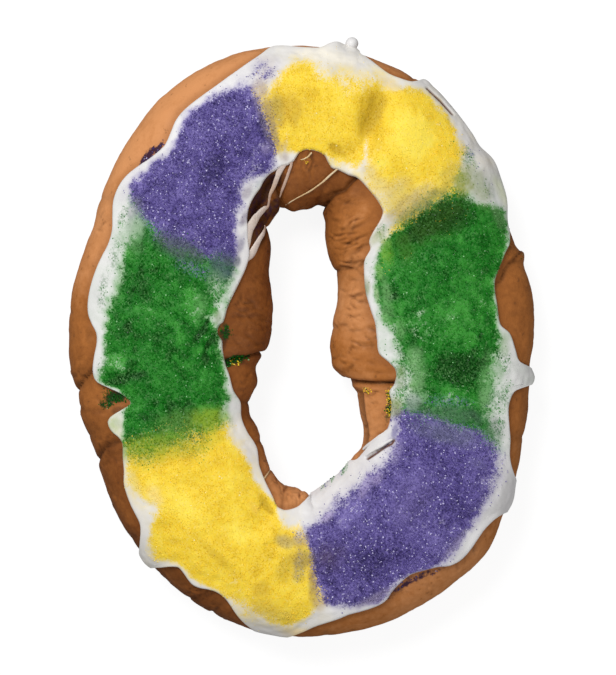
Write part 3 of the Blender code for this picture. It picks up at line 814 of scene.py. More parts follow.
# Slits where the sheet tore and the crust shows: (line of (degrees, share) points, half-width, depth)
SLITS = (
    (((50, .997), (54, 1.004), (58, 1.008)), .0009, .0012),
    (((323.8, .19), (325.8, .214), (328.6, .248), (330.2, .27), (331.7, .298), (333, .305)),
     .0011, .001),
)


def lip_thickness(degrees, side):
    """Extra thickness of the lip at the fat drips of one edge: cosine bells along the ring."""
    extra = np.zeros(np.shape(degrees))
    for at, half_length, edge, height in FAT_DRIPS:
        if edge == side:
            extra = extra + height * bell(np.abs(turn_between(degrees, at)) / half_length)
    return extra


def segment_distance(x, y, start, end):
    """Distance of (x, y) from the straight line between two (degrees, share) points, and how far along it."""
    start_x, start_y = on_band(*start)
    end_x, end_y = on_band(*end)
    run_x, run_y = end_x - start_x, end_y - start_y
    part = np.clip(((x - start_x) * run_x + (y - start_y) * run_y) / (run_x ** 2 + run_y ** 2), 0, 1)
    return np.hypot(x - start_x - part * run_x, y - start_y - part * run_y), part


def crease_line(x, y, start, end, half_width):
    """Share of a crease's depth at (x, y): a bell across its line, shallower towards its two ends."""
    away, part = segment_distance(x, y, start, end)
    fade = smooth_step(0.0, 0.15, part) * smooth_step(1.0, 0.85, part) * 0.8 + 0.2
    return np.exp(-(away / half_width) ** 2) * fade


def near_line(x, y, line, half_width):
    """1 on a line through (degrees, share) points, falling off as a bell to both sides."""
    nearest = np.full(np.shape(x), 1.0)
    for start, end in zip(line[:-1], line[1:]):
        nearest = np.minimum(nearest, segment_distance(x, y, start, end)[0])
    return np.exp(-(nearest / half_width) ** 2)


def dome_normals(degrees, angle):
    """Normals of the dome from points a little ahead, behind and to both sides."""
    little = 0.004
    along = dome(degrees + 0.25, angle) - dome(degrees - 0.25, angle)
    across = dome(degrees, angle + little) - dome(degrees, angle - little)
    return unit(np.cross(along, across))


icing_degrees = (np.arange(ICING_STATIONS) * 360.0 / ICING_STATIONS)[:, None]
outer_edge, inner_edge = icing_edges(icing_degrees)
# Metres along the dome for one radian, at both edges of the icing.
step = 0.01
outer_speed, inner_speed = (
    np.linalg.norm(dome(icing_degrees, edge + ahead) - dome(icing_degrees, edge), axis=-1) / step
    for edge, ahead in ((outer_edge, step), (inner_edge, -step)))
lip_turn = np.linspace(0, 0.5 * np.pi, LIP_STEPS)[None, :]
outer_round = LIP_RADIUS * (1 - np.cos(lip_turn)) / outer_speed
inner_round = LIP_RADIUS * (1 - np.cos(lip_turn[:, ::-1])) / inner_speed
top_share = np.linspace(0, 1, TOP_STEPS + 2)[None, 1:-1]
top_start = outer_edge + LIP_RADIUS / outer_speed
top_end = inner_edge - LIP_RADIUS / inner_speed
under_share = np.linspace(0, 1, UNDER_STEPS + 2)[None, 1:-1]
icing_angles = np.hstack((
    outer_edge + outer_round, top_start + (top_end - top_start) * top_share, inner_edge - inner_round,
    inner_edge + (outer_edge - inner_edge) * under_share))
lip_rise = np.hstack((np.sin(lip_turn), np.ones_like(top_share), np.sin(lip_turn[:, ::-1]), 0 * under_share))
icing_base = dome(icing_degrees, icing_angles)
icing_normal = dome_normals(icing_degrees, icing_angles)
from_outer = (icing_angles - outer_edge) * outer_speed
from_inner = (inner_edge - icing_angles) * inner_speed
near_lip = (np.exp(-((from_outer - LIP_RADIUS) / LIP_REACH) ** 2)
            + np.exp(-((from_inner - LIP_RADIUS) / LIP_REACH) ** 2))
drip = (lip_thickness(icing_degrees, 1) * np.exp(-(from_outer / DRIP_REACH) ** 2)
        + lip_thickness(icing_degrees, 0) * np.exp(-(from_inner / DRIP_REACH) ** 2))
ix, iy, iz = (icing_base[..., axis] for axis in range(3))
inland = smooth_step(*INLAND, np.minimum(from_outer, from_inner))
thick = ICING_THICK + LIP_SWELL * near_lip + drip
thick = thick + layered_lumps(ix, iy, iz, SUGAR_LUMPS) * inland
thick = thick + LIP_LUMPS * lumps(ix, iy, iz, LIP_LUMP_SIZE, 14) * (1 - inland)
for start, end, deep, half_width in TOP_CREASES:
    thick = thick - deep * crease_line(ix, iy, start, end, half_width) * inland
icing_height = np.maximum(thick, ICING_THINNEST) * lip_rise - ICING_SUNK * (1 - lip_rise)
icing_points = icing_base + icing_normal * icing_height[..., None]
icing_slit = np.zeros_like(icing_height)
for line, half_width, depth in SLITS:
    opened = near_line(icing_points[..., 0], icing_points[..., 1], line, half_width) * (lip_rise > 0.05)
    icing_points = icing_points - icing_normal * (depth * opened)[..., None]
    icing_slit = np.maximum(icing_slit, opened)
icing_mesh = ring_mesh("white_icing_sheet", icing_points)

# Coloured sugar: three colours in six fields round the ring. Its edges, seen from above: (degrees, share of
# the band, half of the distance over which the sugar thins out, as a share)
SUGAR_OUTER = (
    (0, .8, .03), (5, .785, .015), (10, .785, .015), (13, .8, .015), (16, .84, .02), (18, .88, .02),
    (20, .905, .02), (22, .93, .02), (25, .945, .02), (27, .93, .03), (29, .9, .03), (31, .83, .03),
    (33, .8, .04), (35, .79, .04), (38, .8, .04), (40, .85, .03), (42, .9, .03), (45, .925, .03),
    (50, .945, .02), (55, .97, .03), (60, .955, .03), (65, .89, .03), (67, .875, .05), (70, .86, .07),
    (75, .8, .11), (80, .79, .1), (85, .81, .09), (88, .88, .06), (92, .89, .05), (95, .83, .05),
    (97, .8, .05), (100, .77, .05), (102, .72, .09), (105, .76, .08), (107, .8, .06), (110, .82, .04),
    (115, .84, .03), (120, .855, .02), (125, .85, .02), (127, .83, .02), (130, .8, .02), (132, .79, .02),
    (135, .79, .02), (140, .83, .02), (145, .86, .02), (148, .83, .03), (150, .785, .04), (152, .755, .05),
    (155, .745, .05), (160, .76, .04), (165, .755, .03), (170, .79, .02), (175, .8, .02), (180, .81, .02),
    (183, .79, .03), (186, .82, .03), (188, .83, .02), (190, .75, .02), (193, .7, .015), (195, .735, .015),
    (197, .75, .015), (200, .77, .015), (203, .78, .02), (205, .79, .02), (207, .8, .03), (210, .83, .03),
    (212, .82, .03), (215, .8, .03), (217, .78, .03), (220, .8, .03), (222, .84, .03), (225, .9, .03),
    (228, .93, .03), (230, .915, .02), (232, .87, .02), (235, .86, .02), (240, .86, .02), (245, .84, .015),
    (250, .85, .03), (255, .865, .07), (260, .875, .06), (265, .91, .05), (270, .88, .03), (273, .8, .04),
    (275, .75, .03), (277, .76, .03), (280, .78, .03), (282, .8, .03), (285, .83, .03), (287, .84, .02),
    (290, .86, .02), (292, .87, .02), (295, .85, .02), (297, .83, .02), (300, .83, .02), (303, .85, .02),
    (305, .87, .02), (307, .9, .02), (310, .93, .03), (315, .92, .03), (320, .92, .03), (325, .91, .04),
    (333, .9, .04), (335, .87, .04), (338, .87, .04), (340, .85, .04), (342, .8, .05), (345, .76, .07),
    (350, .77, .07), (352, .77, .06), (355, .76, .05),
)
SUGAR_INNER = (
    (0, .29, .04), (5, .26, .04), (7, .25, .05), (10, .22, .03), (12, .215, .03), (15, .2, .025),
    (17, .195, .02), (20, .195, .02), (25, .21, .02), (30, .24, .03), (32, .262, .03), (35, .31, .04),
    (37, .38, .05), (40, .42, .05), (42, .4, .06), (45, .38, .06), (50, .37, .05), (55, .385, .04),
    (57, .4, .05), (60, .42, .05), (62, .4, .05), (65, .39, .04), (70, .37, .04), (75, .345, .04),
    (77, .335, .03), (80, .33, .02), (85, .325, .02), (90, .335, .02), (95, .35, .03), (97, .365, .03),
    (104, .36, .03), (107, .34, .03), (110, .32, .03), (115, .325, .03), (118, .34, .03), (120, .355, .04),
    (124, .36, .04), (127, .35, .04), (130, .3, .04), (135, .295, .035), (140, .265, .03), (142, .24, .03),
    (145, .23, .03), (147, .22, .025), (150, .21, .025), (152, .205, .03), (155, .21, .03), (160, .22, .03),
    (163, .25, .03), (167, .25, .03), (170, .28, .03), (172, .25, .03), (174.5, .228, .02), (177, .222, .02),
    (180, .222, .02), (182, .212, .02), (185, .205, .02), (190, .205, .015), (194, .2, .02),
    (197, .232, .03), (200, .236, .03), (202, .24, .04), (205, .23, .04), (207, .225, .03), (210, .2, .03),
    (215, .18, .02), (220, .165, .02), (225, .17, .02), (230, .165, .02), (235, .155, .015),
    (240, .135, .015), (245, .125, .015), (247, .145, .02), (250, .17, .03), (252, .19, .03), (255, .21, .04),
    (260, .22, .05), (265, .19, .05), (270, .19, .04), (275, .17, .04), (280, .16, .04), (290, .15, .04),
    (295, .155, .04), (300, .165, .05), (305, .19, .05), (310, .2, .05), (315, .245, .05), (320, .275, .05),
    (325, .305, .05), (327, .325, .04), (330, .33, .04), (335, .325, .03), (337.5, .31, .025),
    (340, .3, .03), (343, .31, .04), (345, .345, .08), (350, .36, .09), (355, .335, .08), (357, .315, .07),
)
# Borders between the fields: the angle at five shares of the band, from the inner to the outer side, and
# half the width in degrees over which the two colours mix
BORDER_SHARES = (.15, .35, .55, .75, .95)
BORDERS = (
    ((33.5, 35.6, 36.6, 36.2, 34.5), 2.6), ((103.4, 103.8, 103.4, 104.6, 102.5), 2.8),
    ((149.5, 152, 153.2, 150.5, 146.5), 2.8), ((201.6, 203.6, 205.2, 203.6, 205.6), 4.2),
    ((268.5, 274, 275, 276.5, 279), 2.4), ((344.5, 342.5, 341, 340, 337), 2.4),
)
# Patches where the sugar lies thin (a share taken away): (degrees, share, half-length, half-width, amount)
THIN_PATCHES = (
    (40.5, .34, 4.5, .12, .75), (40.5, .6, 4.5, .2, .35), (40, .84, 5, .12, .3), (45, .38, 6, .14, .45),
    (183.5, .755, 2.2, .06, .45), (358, .365, 4, .06, .4), (352.5, .33, 3, .05, .3),
    (347, .36, 3, .07, .35), (8, .26, 3.5, .05, .4), (348, .78, 3.5, .06, .35), (358, .83, 3, .05, .3),
    (60, .43, 3.5, .08, .4), (47, .5, 5.5, .08, .4), (218.6, .785, 3.6, .07, .99),
    (219.6, .85, 2.6, .06, .95), (255, .87, 8, .09, .6), (268, .225, 7, .07, .45), (159, .265, 9, .075, .75),
    (276, .68, 4, .1, .35), (338, .86, 5, .07, .3), (50, .4, 8, .06, .35), (315, .88, 5, .05, .25),
    (278, .34, 5, .08, .2), (104, .33, 5, .06, .3), (10, .4, 3.5, .04, .2),
)
# Patches worn through in streaks, so that white shows between the grains: (degrees, share, half-length,
# half-width, amount)
WORN_PATCHES = (
    (167.5, .38, 8, .1, .8), (8, .42, 10, .25, .6), (349, .5, 9, .28, .5), (20, .28, 8, .1, .5),
    (172, .56, 5, .15, .45), (183.5, .74, 4, .09, .65), (156, .74, 6, .12, .6), (330, .85, 9, .12, .6),
    (300, .24, 12, .08, .7), (315, .78, 8, .15, .45), (335, .35, 6, .12, .5), (100, .82, 8, .16, .6),
    (122, .86, 11, .05, .5), (60, .48, 11, .16, .4), (226, .62, 12, .2, .25), (252, .76, 12, .14, .45),
    (198, .3, 6, .12, .45), (143, .84, 6, .05, .45), (8, .74, 8, .07, .4), (118, .37, 8, .06, .6),
    (285, .7, 8, .12, .3), (82, .86, 12, .09, .5), (268, .3, 8, .14, .5), (348, .8, 8, .1, .6),
)
# Streaks of bare icing through the sugar: (line of (degrees, share) points, half-width in metres, amount)
THIN_STREAKS = (
    (((58, .32), (59.5, .4), (61.5, .47), (64, .53)), .0016, .8),
    (((107, .41), (109.5, .45), (113, .44), (115.5, .39), (114, .35)), .0016, .38),
    (((97, .45), (99.5, .37), (101, .31)), .0012, .45), (((147, .45), (150, .4)), .001, .35),
    (((2, .42), (4.5, .36)), .0009, .35),
)
# Grains of one colour strewn into another: (colour, degrees, share, half-length, half-width, amount)
STREWN = (
    (2, 29.5, .275, 7, .07, .2), (2, 26.5, .38, 3, .08, .08), (2, 200, .38, 4, .22, .1),
    (2, 31, .62, 6, .3, .06), (1, 208, .42, 5, .16, .22), (1, 206.8, .7, 4, .12, .26),
    (2, 200.5, .55, 4, .3, .16), (0, 267, .24, 6, .09, .55), (0, 275, .5, 5, .25, .2),
    (1, 103.5, .55, 3, .25, .1), (1, 340, .45, 2.5, .2, .15), (0, 346.5, .55, 3, .25, .18),
    (0, 157, .4, 4, .2, .25), (1, 150.5, .5, 3, .24, .14), (1, 38.5, .5, 3, .25, .25),
    (2, 104, .55, 2.5, .3, .2), (0, 100.5, .62, 2.5, .25, .16), (1, 262, .5, 5, .15, .14),
    (0, 268, .45, 4, .22, .24), (1, 268, .45, 4, .2, .08), (1, 56, .5, 5, .08, .08),
    (2, 197.5, .31, 3, .11, .06), (1, 16, .165, 12, .03, .6), (1, 350, .33, 6, .06, .08),
)
# Grains caught on the bare rims: (colour, degrees, share, half-length, half-width, amount)
RIM_SPECKS = (
    (1, 160, .82, 7, .05, .32), (1, 169, .845, 8, .04, .24), (1, 352, .29, 6, .045, .55),
    (1, 152, .83, 5, .06, .3), (1, 37, .88, 7, .08, .14), (1, 38.5, .84, 4, .06, .5),
    (1, 32, .93, 4, .05, .18), (1, 41, .9, 7, .09, .35), (1, 45, .84, 5, .07, .2),
    (0, 42, .93, 10, .07, .14), (1, 37, .3, 5, .07, .35), (1, 300, -.012, 7, .03, .28),
    (1, 308, .022, 6, .03, .34), (0, 304, .005, 8, .03, .24), (0, 313, .06, 6, .03, .24),
    (1, 12, .17, 12, .035, .1), (1, 315, .078, 5, .03, .4), (1, 172, .2, 6, .02, .2),
    (1, 165, .185, 8, .03, .25), (1, 345, .3, 5, .07, .45), (0, 330, .92, 9, .05, .3),
    (1, 342, .84, 5, .08, .65), (1, 348, .84, 6, .08, .45), (1, 356, .83, 5, .07, .3),
    (1, 350, .32, 12, .1, .8), (1, 357, .3, 4, .05, .22), (1, 203, .2, 4, .04, .18),
    (0, 101, .86, 6, .11, .42), (0, 315, .2, 10, .05, .2), (0, 300, .12, 10, .05, .25),
    (0, 333, .93, 6, .04, .25), (0, 147, .88, 4, .03, .1), (1, 186, .85, 5, .03, .15),
    (1, 25, .17, 10, .03, .12), (2, 228, .96, 4, .04, .2), (2, 240, .125, 10, .02, .2),
    (0, 122, .3, 6, .07, .14), (0, 285, .1, 10, .06, .22), (2, 210, .86, 5, .03, .12),
)
# Dye washed over the bare rims: (colour, degrees, share, half-length, half-width, amount)
RIM_TINTS = (
    (0, 100.5, .87, 7, .14, .5), (2, 66, .94, 12, .08, .5), (2, 76, .88, 15, .09, .55),
    (1, 160, .8, 8, .05, .3), (2, 267, .95, 8, .07, .5), (1, 197, .81, 6, .07, .45),
    (2, 198, .81, 7, .07, .38), (1, 170, .83, 22, .05, .14), (2, 256, .91, 13, .11, .45),
    (2, 232, .92, 8, .06, .25), (2, 212, .845, 11, .07, .5), (2, 250, .13, 15, .06, .32),
    (0, 116, .285, 10, .05, .22), (1, 118, .27, 10, .05, .16), (0, 34, .93, 8, .08, .22),
    (1, 33, .9, 6, .07, .3), (1, 348, .34, 9, .12, .4), (0, 316, .2, 12, .08, .14),
    (1, 8, .2, 15, .07, .3), (0, 330, .93, 10, .06, .22), (1, 165, .2, 12, .06, .35),
    (0, 46, .93, 10, .08, .1), (1, 348, .85, 9, .09, .3), (1, 12, .84, 9, .05, .25),
    (0, 144, .88, 10, .05, .14), (0, 290, .08, 16, .08, .08), (1, 157, .8, 8, .1, .4),
    (1, 192, .15, 10, .04, .2), (0, 122, .32, 8, .08, .1), (2, 60, .36, 8, .06, .55),
    (2, 79, .325, 20, .06, 1), (1, 164, .21, 9, .05, .5), (2, 225, .12, 14, .05, .35),
)
# Patches where the grains are lighter or darker, partly the sugar's own uneven colour and partly painted
# shade
# in the valleys and creases of the top: (degrees, share, half-length, half-width, shift)
SHADE_PATCHES = (
    (141, .67, 4, .09, -.2), (31.5, .62, 3, .1, .22), (354.5, .6, 4, .12, .25), (300, .5, 3, .1, -.1),
    (319, .8, 3, .08, .1), (176, .24, 3.5, .04, -.7), (89, .66, 7, .17, -.3),
    (187.3, .72, 2.8, .15, -.85), (177, .66, 4.2, .14, -.3), (167.5, .375, 6.5, .075, .8),
    (170, .35, 3, .035, .3), (183.5, .755, 2.2, .06, 1.2), (172, .55, 3, .1, .4), (176, .435, 5, .03, .5),
    (187, .27, 4.5, .07, .35), (197.5, .31, 3.2, .11, .65), (181.5, .295, 2.2, .04, -.8),
    (163, .62, 6, .18, -.18), (29, .27, 6, .055, .85), (32, .6, 6, .3, -1.1), (30, .66, 2.2, .08, -.2),
    (31.5, .42, 2.5, .08, -.3), (26.5, .38, 3.5, .1, -.15), (18, .27, 5, .07, -.65),
    (355.2, .6, 6.2, .2, -1.15), (8, .6, 6.5, .19, .4), (348, .62, 4, .15, .3), (24, .84, 4, .08, -.15),
    (128, .53, 9, .11, -.55), (105, .53, 4, .15, -.55), (134, .41, 5, .07, .25), (122, .88, 7, .05, .35),
    (143, .84, 5, .06, .35), (107, .77, 4, .08, .25), (120, .66, 12, .12, -.15), (141, .62, 6, .12, .15),
    (297, .6, 15, .2, -.4), (303, .7, 4, .08, -.3), (283, .62, 8, .16, -.15), (313, .8, 4.5, .1, .5),
    (301, .26, 12, .1, 1), (335, .36, 5, .1, .4), (338, .72, 4, .1, .35), (322, .78, 8, .13, -.25),
    (281, .27, 5, .08, -.1), (318, .5, 10, .14, .3), (328, .5, 8, .15, .2), (69, .74, 7, .19, -.6),
    (61, .6, 5, .22, -.45), (73, .405, 6.5, .035, -.6), (98, .68, 5, .16, -.65), (88, .7, 5, .15, -.3),
    (99, .53, 1.6, .05, -.9), (97, .42, 3, .06, -.5), (80, .5, 9, .1, .3), (54, .75, 11, .18, .9),
    (56, .5, 6, .1, .4), (207, .54, 5.5, .28, -.65), (222, .62, 8, .12, .55), (240, .45, 9, .1, .5),
    (238, .66, 11, .05, -.65), (252, .6, 4, .1, -.45), (255, .45, 4, .1, -.5), (262, .5, 4, .18, -.7),
    (268, .45, 5, .22, -.35), (240, .175, 10, .04, -1.2), (227, .78, 5, .06, -.3), (257, .68, 6, .12, -.55),
    (195, .42, 6, .2, -.25),
)
# Painted shade along the creases in the top, laid as dark strokes over the grains: (line of (degrees, share)
# points, half-width, shift)
CREASE_SHADE_STROKES = (
    (((171, .285), (173.5, .3), (177, .345)), .0012, -1.4), (((176.5, .2), (179, .205)), .0011, -1.2),
    (((174.7, .245), (177.5, .275), (180.5, .3), (182.5, .29)), .0012, -1.4),
    (((65.2, .62), (67, .52), (68.5, .43)), .0032, -.5),
    (((186.2, .6), (187.3, .7), (188.4, .8)), .0016, -.6),
)
# How strongly the rims outside the sugar are tinted beside each colour: purple, green, yellow
RIM_HAZE = (.04, .12, .14)
# Noise in the sugar's edges, in the haze at its rim and in its tone: (weight, size in metres, seed)
RAGGED_EDGE = ((.45, .009, 21), (.40, .004, 22), (.35, .0022, 23))
PATCHY_HAZE = ((.50, .007, 33), (.25, .003, 34))
CLOUDS = ((.30, .009, 31), (.42, .0042, 35))
FINE_CLOUDS = ((.30, .0022, 36),)
GREEN_CLOUDIER = 0.55
SHIFT_GAIN, SHIFT_LIMIT = 1.75, 1.4
# The sugar's edge, in shares of the band: least half-width, raggedness, how far the dye runs ahead of the
# grains, and the parts of the grains and of the dye that thin out over a longer tail
EDGE_LEAST, EDGE_RAGGED, DYE_AHEAD, GRAIN_TAIL, DYE_TAIL = .012, .018, .012, .16, .25
SUGAR_NAMES = ("purple", "green", "yellow")
BLED_AND_LIGHT_NAMES = ("bled_and_light_red", "bled_and_light_green", "bled_and_light_blue", "bled_and_light")
# Where two dyes ran together in the wet icing, and, palest on the outer rim, a few patches of painted light:
# ((red, green, blue), degrees, share, half-length, half-width, amount)
BLEEDS_AND_RIM_LIGHT = (
    ((.032, .098, .01), 31.5, .6, 8, .34, .72), ((.006, .06, .003), 29, .7, 3.4, .2, .65),
    ((.05, .175, .018), 30, .39, 8.75, .084, .8), ((.1, .31, .022), 31, .292, 8, .058, .9),
    ((.36, .41, .15), 37.5, .26, 3.75, .096, .6), ((.305, .345, .175), 35, .9, 9.38, .108, .75),
    ((.2, .22, .085), 38, .56, 3.25, .36, .85), ((.4, .33, .17), 40.8, .5, 4, .264, .8),
    ((.48, .4, .085), 39.5, .78, 4.2, .15, .55), ((.62, .5, .18), 45, .48, 7, .18, .65),
    ((.74, .62, .3), 49, .41, 9, .1, .65), ((.74, .62, .34), 57, .42, 5, .1, .6),
    ((.43, .32, .075), 99, .62, 4.5, .168, .75), ((.35, .26, .13), 102.4, .56, 2.75, .384, .8),
    ((.2, .165, .24), 105.4, .56, 2.25, .384, .6), ((.52, .37, .18), 100, .39, 4, .06, .6),
    ((.085, .115, .15), 152.5, .26, 9, .12, .92), ((.085, .11, .115), 153.4, .5, 5, .27, .85),
    ((.3, .42, .29), 152.5, .765, 5, .084, .85), ((.12, .29, .105), 157, .74, 3.75, .096, .6),
    ((.095, .215, .1), 158, .28, 6.25, .096, .6), ((.1, .24, .04), 199.5, .42, 5.62, .288, .65),
    ((.26, .39, .024), 201, .31, 7.5, .18, .85), ((.25, .37, .022), 204.2, .64, 5.2, .34, .8),
    ((.52, .5, .03), 207, .5, 4, .408, .55), ((.28, .21, .085), 269.5, .4, 10, .144, .8),
    ((.42, .33, .105), 268, .52, 5.62, .12, .6), ((.24, .17, .13), 273.6, .62, 3, .24, .7),
    ((.53, .4, .17), 266.5, .27, 6.25, .072, .8), ((.36, .29, .26), 271.5, .26, 3.75, .096, .6),
    ((.56, .43, .24), 275, .77, 3, .096, .7), ((.095, .06, .115), 281, .4, 6.25, .12, .55),
    ((.165, .17, .28), 338.2, .58, 4.5, .34, .8), ((.085, .15, .105), 343.4, .6, 3.4, .34, .7),
    ((.3, .335, .145), 343, .28, 5.62, .072, .8), ((.17, .215, .185), 341, .84, 4.25, .096, .6),
    ((.13, .31, .13), 348.5, .77, 5, .072, .5), ((.085, .058, .13), 283, .44, 12.5, .192, .5),
    ((.5, .39, .15), 259.5, .3, 9.5, .09, .9), ((.185, .15, .345), 318, .55, 15, .192, .3),
    ((.62, .47, .1), 262, .86, 10, .084, .5), ((.5, .32, .02), 67.2, .7, 6.5, .25, .75),
    ((.5, .31, .02), 73, .405, 8, .045, .65), ((.55, .36, .02), 240, .178, 11, .045, .7),
    ((.68, .47, .035), 238, .66, 12, .06, .5), ((.64, .46, .05), 262, .5, 6, .2, .5),
    ((.98, .78, .45), 269.4, .985, 7, .06, 1), ((.7, .73, .52), 31, .985, 6, .05, .9),
    ((.66, .46, .07), 259, .8, 7, .1, .45), ((.28, .32, .06), 36.5, .82, 5, .09, .95),
    ((.185, .43, .145), 16, .236, 14, .045, .62), ((.22, .47, .18), 358, .355, 5.5, .065, .85),
    ((.175, .42, .14), 7, .29, 6, .045, .6), ((.36, .3, .54), 314, .25, 10, .06, .65),
    ((.3, .26, .47), 330, .35, 7, .05, .55), ((.45, .385, .6), 289, .165, 9, .05, .85),
    ((.93, .76, .32), 216, .74, 5, .075, .65), ((.31, .265, .41), 291, .85, 10, .06, .85),
    ((.38, .3, .26), 100.5, .325, 4.5, .055, 1), ((.43, .34, .3), 103.2, .77, 3.5, .1, .8),
    ((.3, .5, .26), 165.5, .775, 7, .04, .5), ((.235, .245, .275), 149.5, .8, 4.5, .06, .6),
    ((.155, .33, .12), 26, .92, 5, .05, .6), ((.14, .345, .115), 167, .335, 7, .06, .5),
    ((.2, .29, .13), 169, .24, 4, .04, .7), ((.32, .34, .16), 23.5, .135, 5.5, .04, .65),
    ((.22, .39, .19), 354, .81, 4, .06, .6), ((.66, .45, .06), 256, .7, 5, .1, .55),
    ((.79, .52, .035), 236.5, .56, 4, .1, .5), ((.5, .56, .4), 196.8, .79, 1.5, .05, .6),
    ((.18, .28, .13), 354.5, .285, 2.5, .04, .6), ((.33, .315, .39), 142.5, .195, 7, .035, .9),
    ((.14, .15, .185), 149, .19, 4, .035, .9), ((.31, .28, .36), 136, .24, 3, .025, .6),
    ((.215, .48, .125), 26.5, .22, 5, .035, .85), ((.17, .41, .055), 31, .27, 4, .03, .75),
    ((.17, .39, .07), 33.5, .31, 2.5, .04, .75), ((.21, .465, .165), 11.5, .21, 3.5, .03, .8),
    ((.39, .59, .3), 19.5, .185, 5, .02, .85), ((.27, .325, .185), 22, .138, 5, .02, .75),
    ((.2, .43, .185), 347, .42, 2.5, .05, .8), ((.25, .325, .29), 344, .36, 2.5, .04, .6),
    ((.205, .185, .365), 336, .305, 4, .03, .85), ((.17, .37, .145), 348.5, .75, 4, .05, .75),
    ((.175, .15, .36), 333.2, .8, 2.5, .09, .8), ((.06, .043, .185), 326, .75, 2, .04, .7),
    ((.28, .49, .215), 350.5, .36, 2.5, .035, .75), ((.067, .14, .025), 36, .44, 1.3, .05, .7),
    ((.32, .275, .34), 125, .3, 5, .045, .65), ((.23, .19, .26), 133.5, .235, 5, .04, .75),
    ((.09, .115, .14), 151, .235, 4, .045, .7), ((.27, .225, .385), 108, .42, 4, .07, .65),
    ((.26, .39, .19), 0, .84, 5, .05, .55), ((.77, .58, .2), 66, .91, 6, .06, .65),
    ((.41, .6, .23), 200, .225, 4, .045, .6), ((.33, .285, .47), 314, .92, 7, .045, .65),
    ((.38, .31, .56), 319, .295, 5, .045, .75), ((.3, .45, .28), 154, .745, 3.5, .06, .6),
    ((.2, .32, .12), 352, .29, 6, .045, .6), ((.78, .68, .3), 211, .81, 5, .05, .55),
    ((.6, .38, .035), 94, .6, 6.5, .2, .75), ((.9, .6, .095), 236, .25, 6, .05, .6),
    ((.96, .9, .77), 84, .95, 15, .08, .9), ((.14, .36, .115), 352, .75, 10, .07, .6),
    ((.2, .42, .165), 353.5, .385, 11, .065, .7), ((.25, .32, .27), 345.5, .375, 4.4, .08, .8),
)


def share_from_above(degrees, points):
    """Share of the band over which each point lies when it is looked at from the camera, high above."""
    nearer = (CAMERA_HEIGHT - VIEW_PLANE) / (CAMERA_HEIGHT - points[..., 2])
    seen_x = CAMERA_PLACE[0] + (points[..., 0] - CAMERA_PLACE[0]) * nearer
    seen_y = CAMERA_PLACE[1] + (points[..., 1] - CAMERA_PLACE[1]) * nearer
    inner_x, inner_y = on_band(degrees, 0.0)
    outer_x, outer_y = on_band(degrees, 1.0)
    run_x, run_y = outer_x - inner_x, outer_y - inner_y
    return ((seen_x - inner_x) * run_x + (seen_y - inner_y) * run_y) / (run_x ** 2 + run_y ** 2)


def sugar_fields(degrees, share, x, y, z):
    """Density of the purple, green and yellow grains, spread of their dye, and whose field it is, 0 to 1.

    Inside the sugar's edges the density is 1. It falls off smoothly over each edge, which is ragged with
    three sizes of noise, and over the borders to the next field. The dye does the same over a wider band.
    """
    ragged = layered_lumps(x, y, z, RAGGED_EDGE)
    cover, dye = 1.0, 1.0
    for edge, side in ((SUGAR_OUTER, 1), (SUGAR_INNER, -1)):
        soft = np.maximum(around_ring(edge, degrees, 2), EDGE_LEAST)
        inside = side * (around_ring(edge, degrees) - share) + (EDGE_RAGGED + .45 * soft) * ragged
        sharp, tail = smooth_step(-1, 1, inside / soft), smooth_step(-2.6, 1, inside / soft)
        cover = cover * ((1 - GRAIN_TAIL) * sharp + GRAIN_TAIL * tail)
        sharp = smooth_step(-1, 1, (inside + DYE_AHEAD) / (soft + DYE_AHEAD))
        tail = smooth_step(-3, 1, inside / soft)
        dye = dye * ((1 - DYE_TAIL) * sharp + DYE_TAIL * tail)
    thin = np.ones_like(cover)
    for patch in THIN_PATCHES:
        thin = thin * (1 - swell(degrees, share, patch))
    for line, half_width, amount in THIN_STREAKS:
        thin = thin * (1 - amount * near_line(x, y, line, half_width))
    worn = np.zeros_like(cover)
    for patch in WORN_PATCHES:
        worn = np.maximum(worn, swell(degrees, share, patch))
    streaks = lumps((x + y) / .0085, (x - y) / .0028, z / .006, 1, 24) + .6 * lumps(x, y, z, .003, 25)
    thin = thin * (1 - worn * smooth_step(-.15, .95, streaks))
    thin = np.clip(thin + 0.5 * (1 - thin) * ragged, 0, 1)
    turn = np.mod(degrees + 1.1 * ragged, 360.0)
    rises = [smooth_step(-half_width, half_width, turn - np.interp(share, BORDER_SHARES, line))
             for line, half_width in BORDERS]
    fields = [rises[1] * (1 - rises[2]) + rises[4] * (1 - rises[5]),
              (1 - rises[0]) + rises[2] * (1 - rises[3]) + rises[5],
              rises[0] * (1 - rises[1]) + rises[3] * (1 - rises[4])]
    for colour, *patch in STREWN:
        strewn = swell(degrees, share, patch)
        fields = [field * (1 - strewn) for field in fields]
        fields[colour] = fields[colour] + strewn
    grains = [field * cover * thin for field in fields]
    dyes = [field * dye * (1 - (1 - thin) * 0.80) for field in fields]
    for colour, *patch in RIM_SPECKS:
        caught = swell(degrees, share, patch) * np.clip(0.8 + 1.1 * ragged, 0, 1.4)
        grains[colour] = np.maximum(grains[colour], caught * (1 - cover))
        dyes[colour] = np.maximum(dyes[colour], 0.45 * caught)
    for colour, *patch in RIM_TINTS:
        washed = swell(degrees, share, patch) * np.clip(0.8 + 0.7 * ragged, 0, 1.4)
        dyes[colour] = np.maximum(dyes[colour], washed)
    return grains, dyes, fields


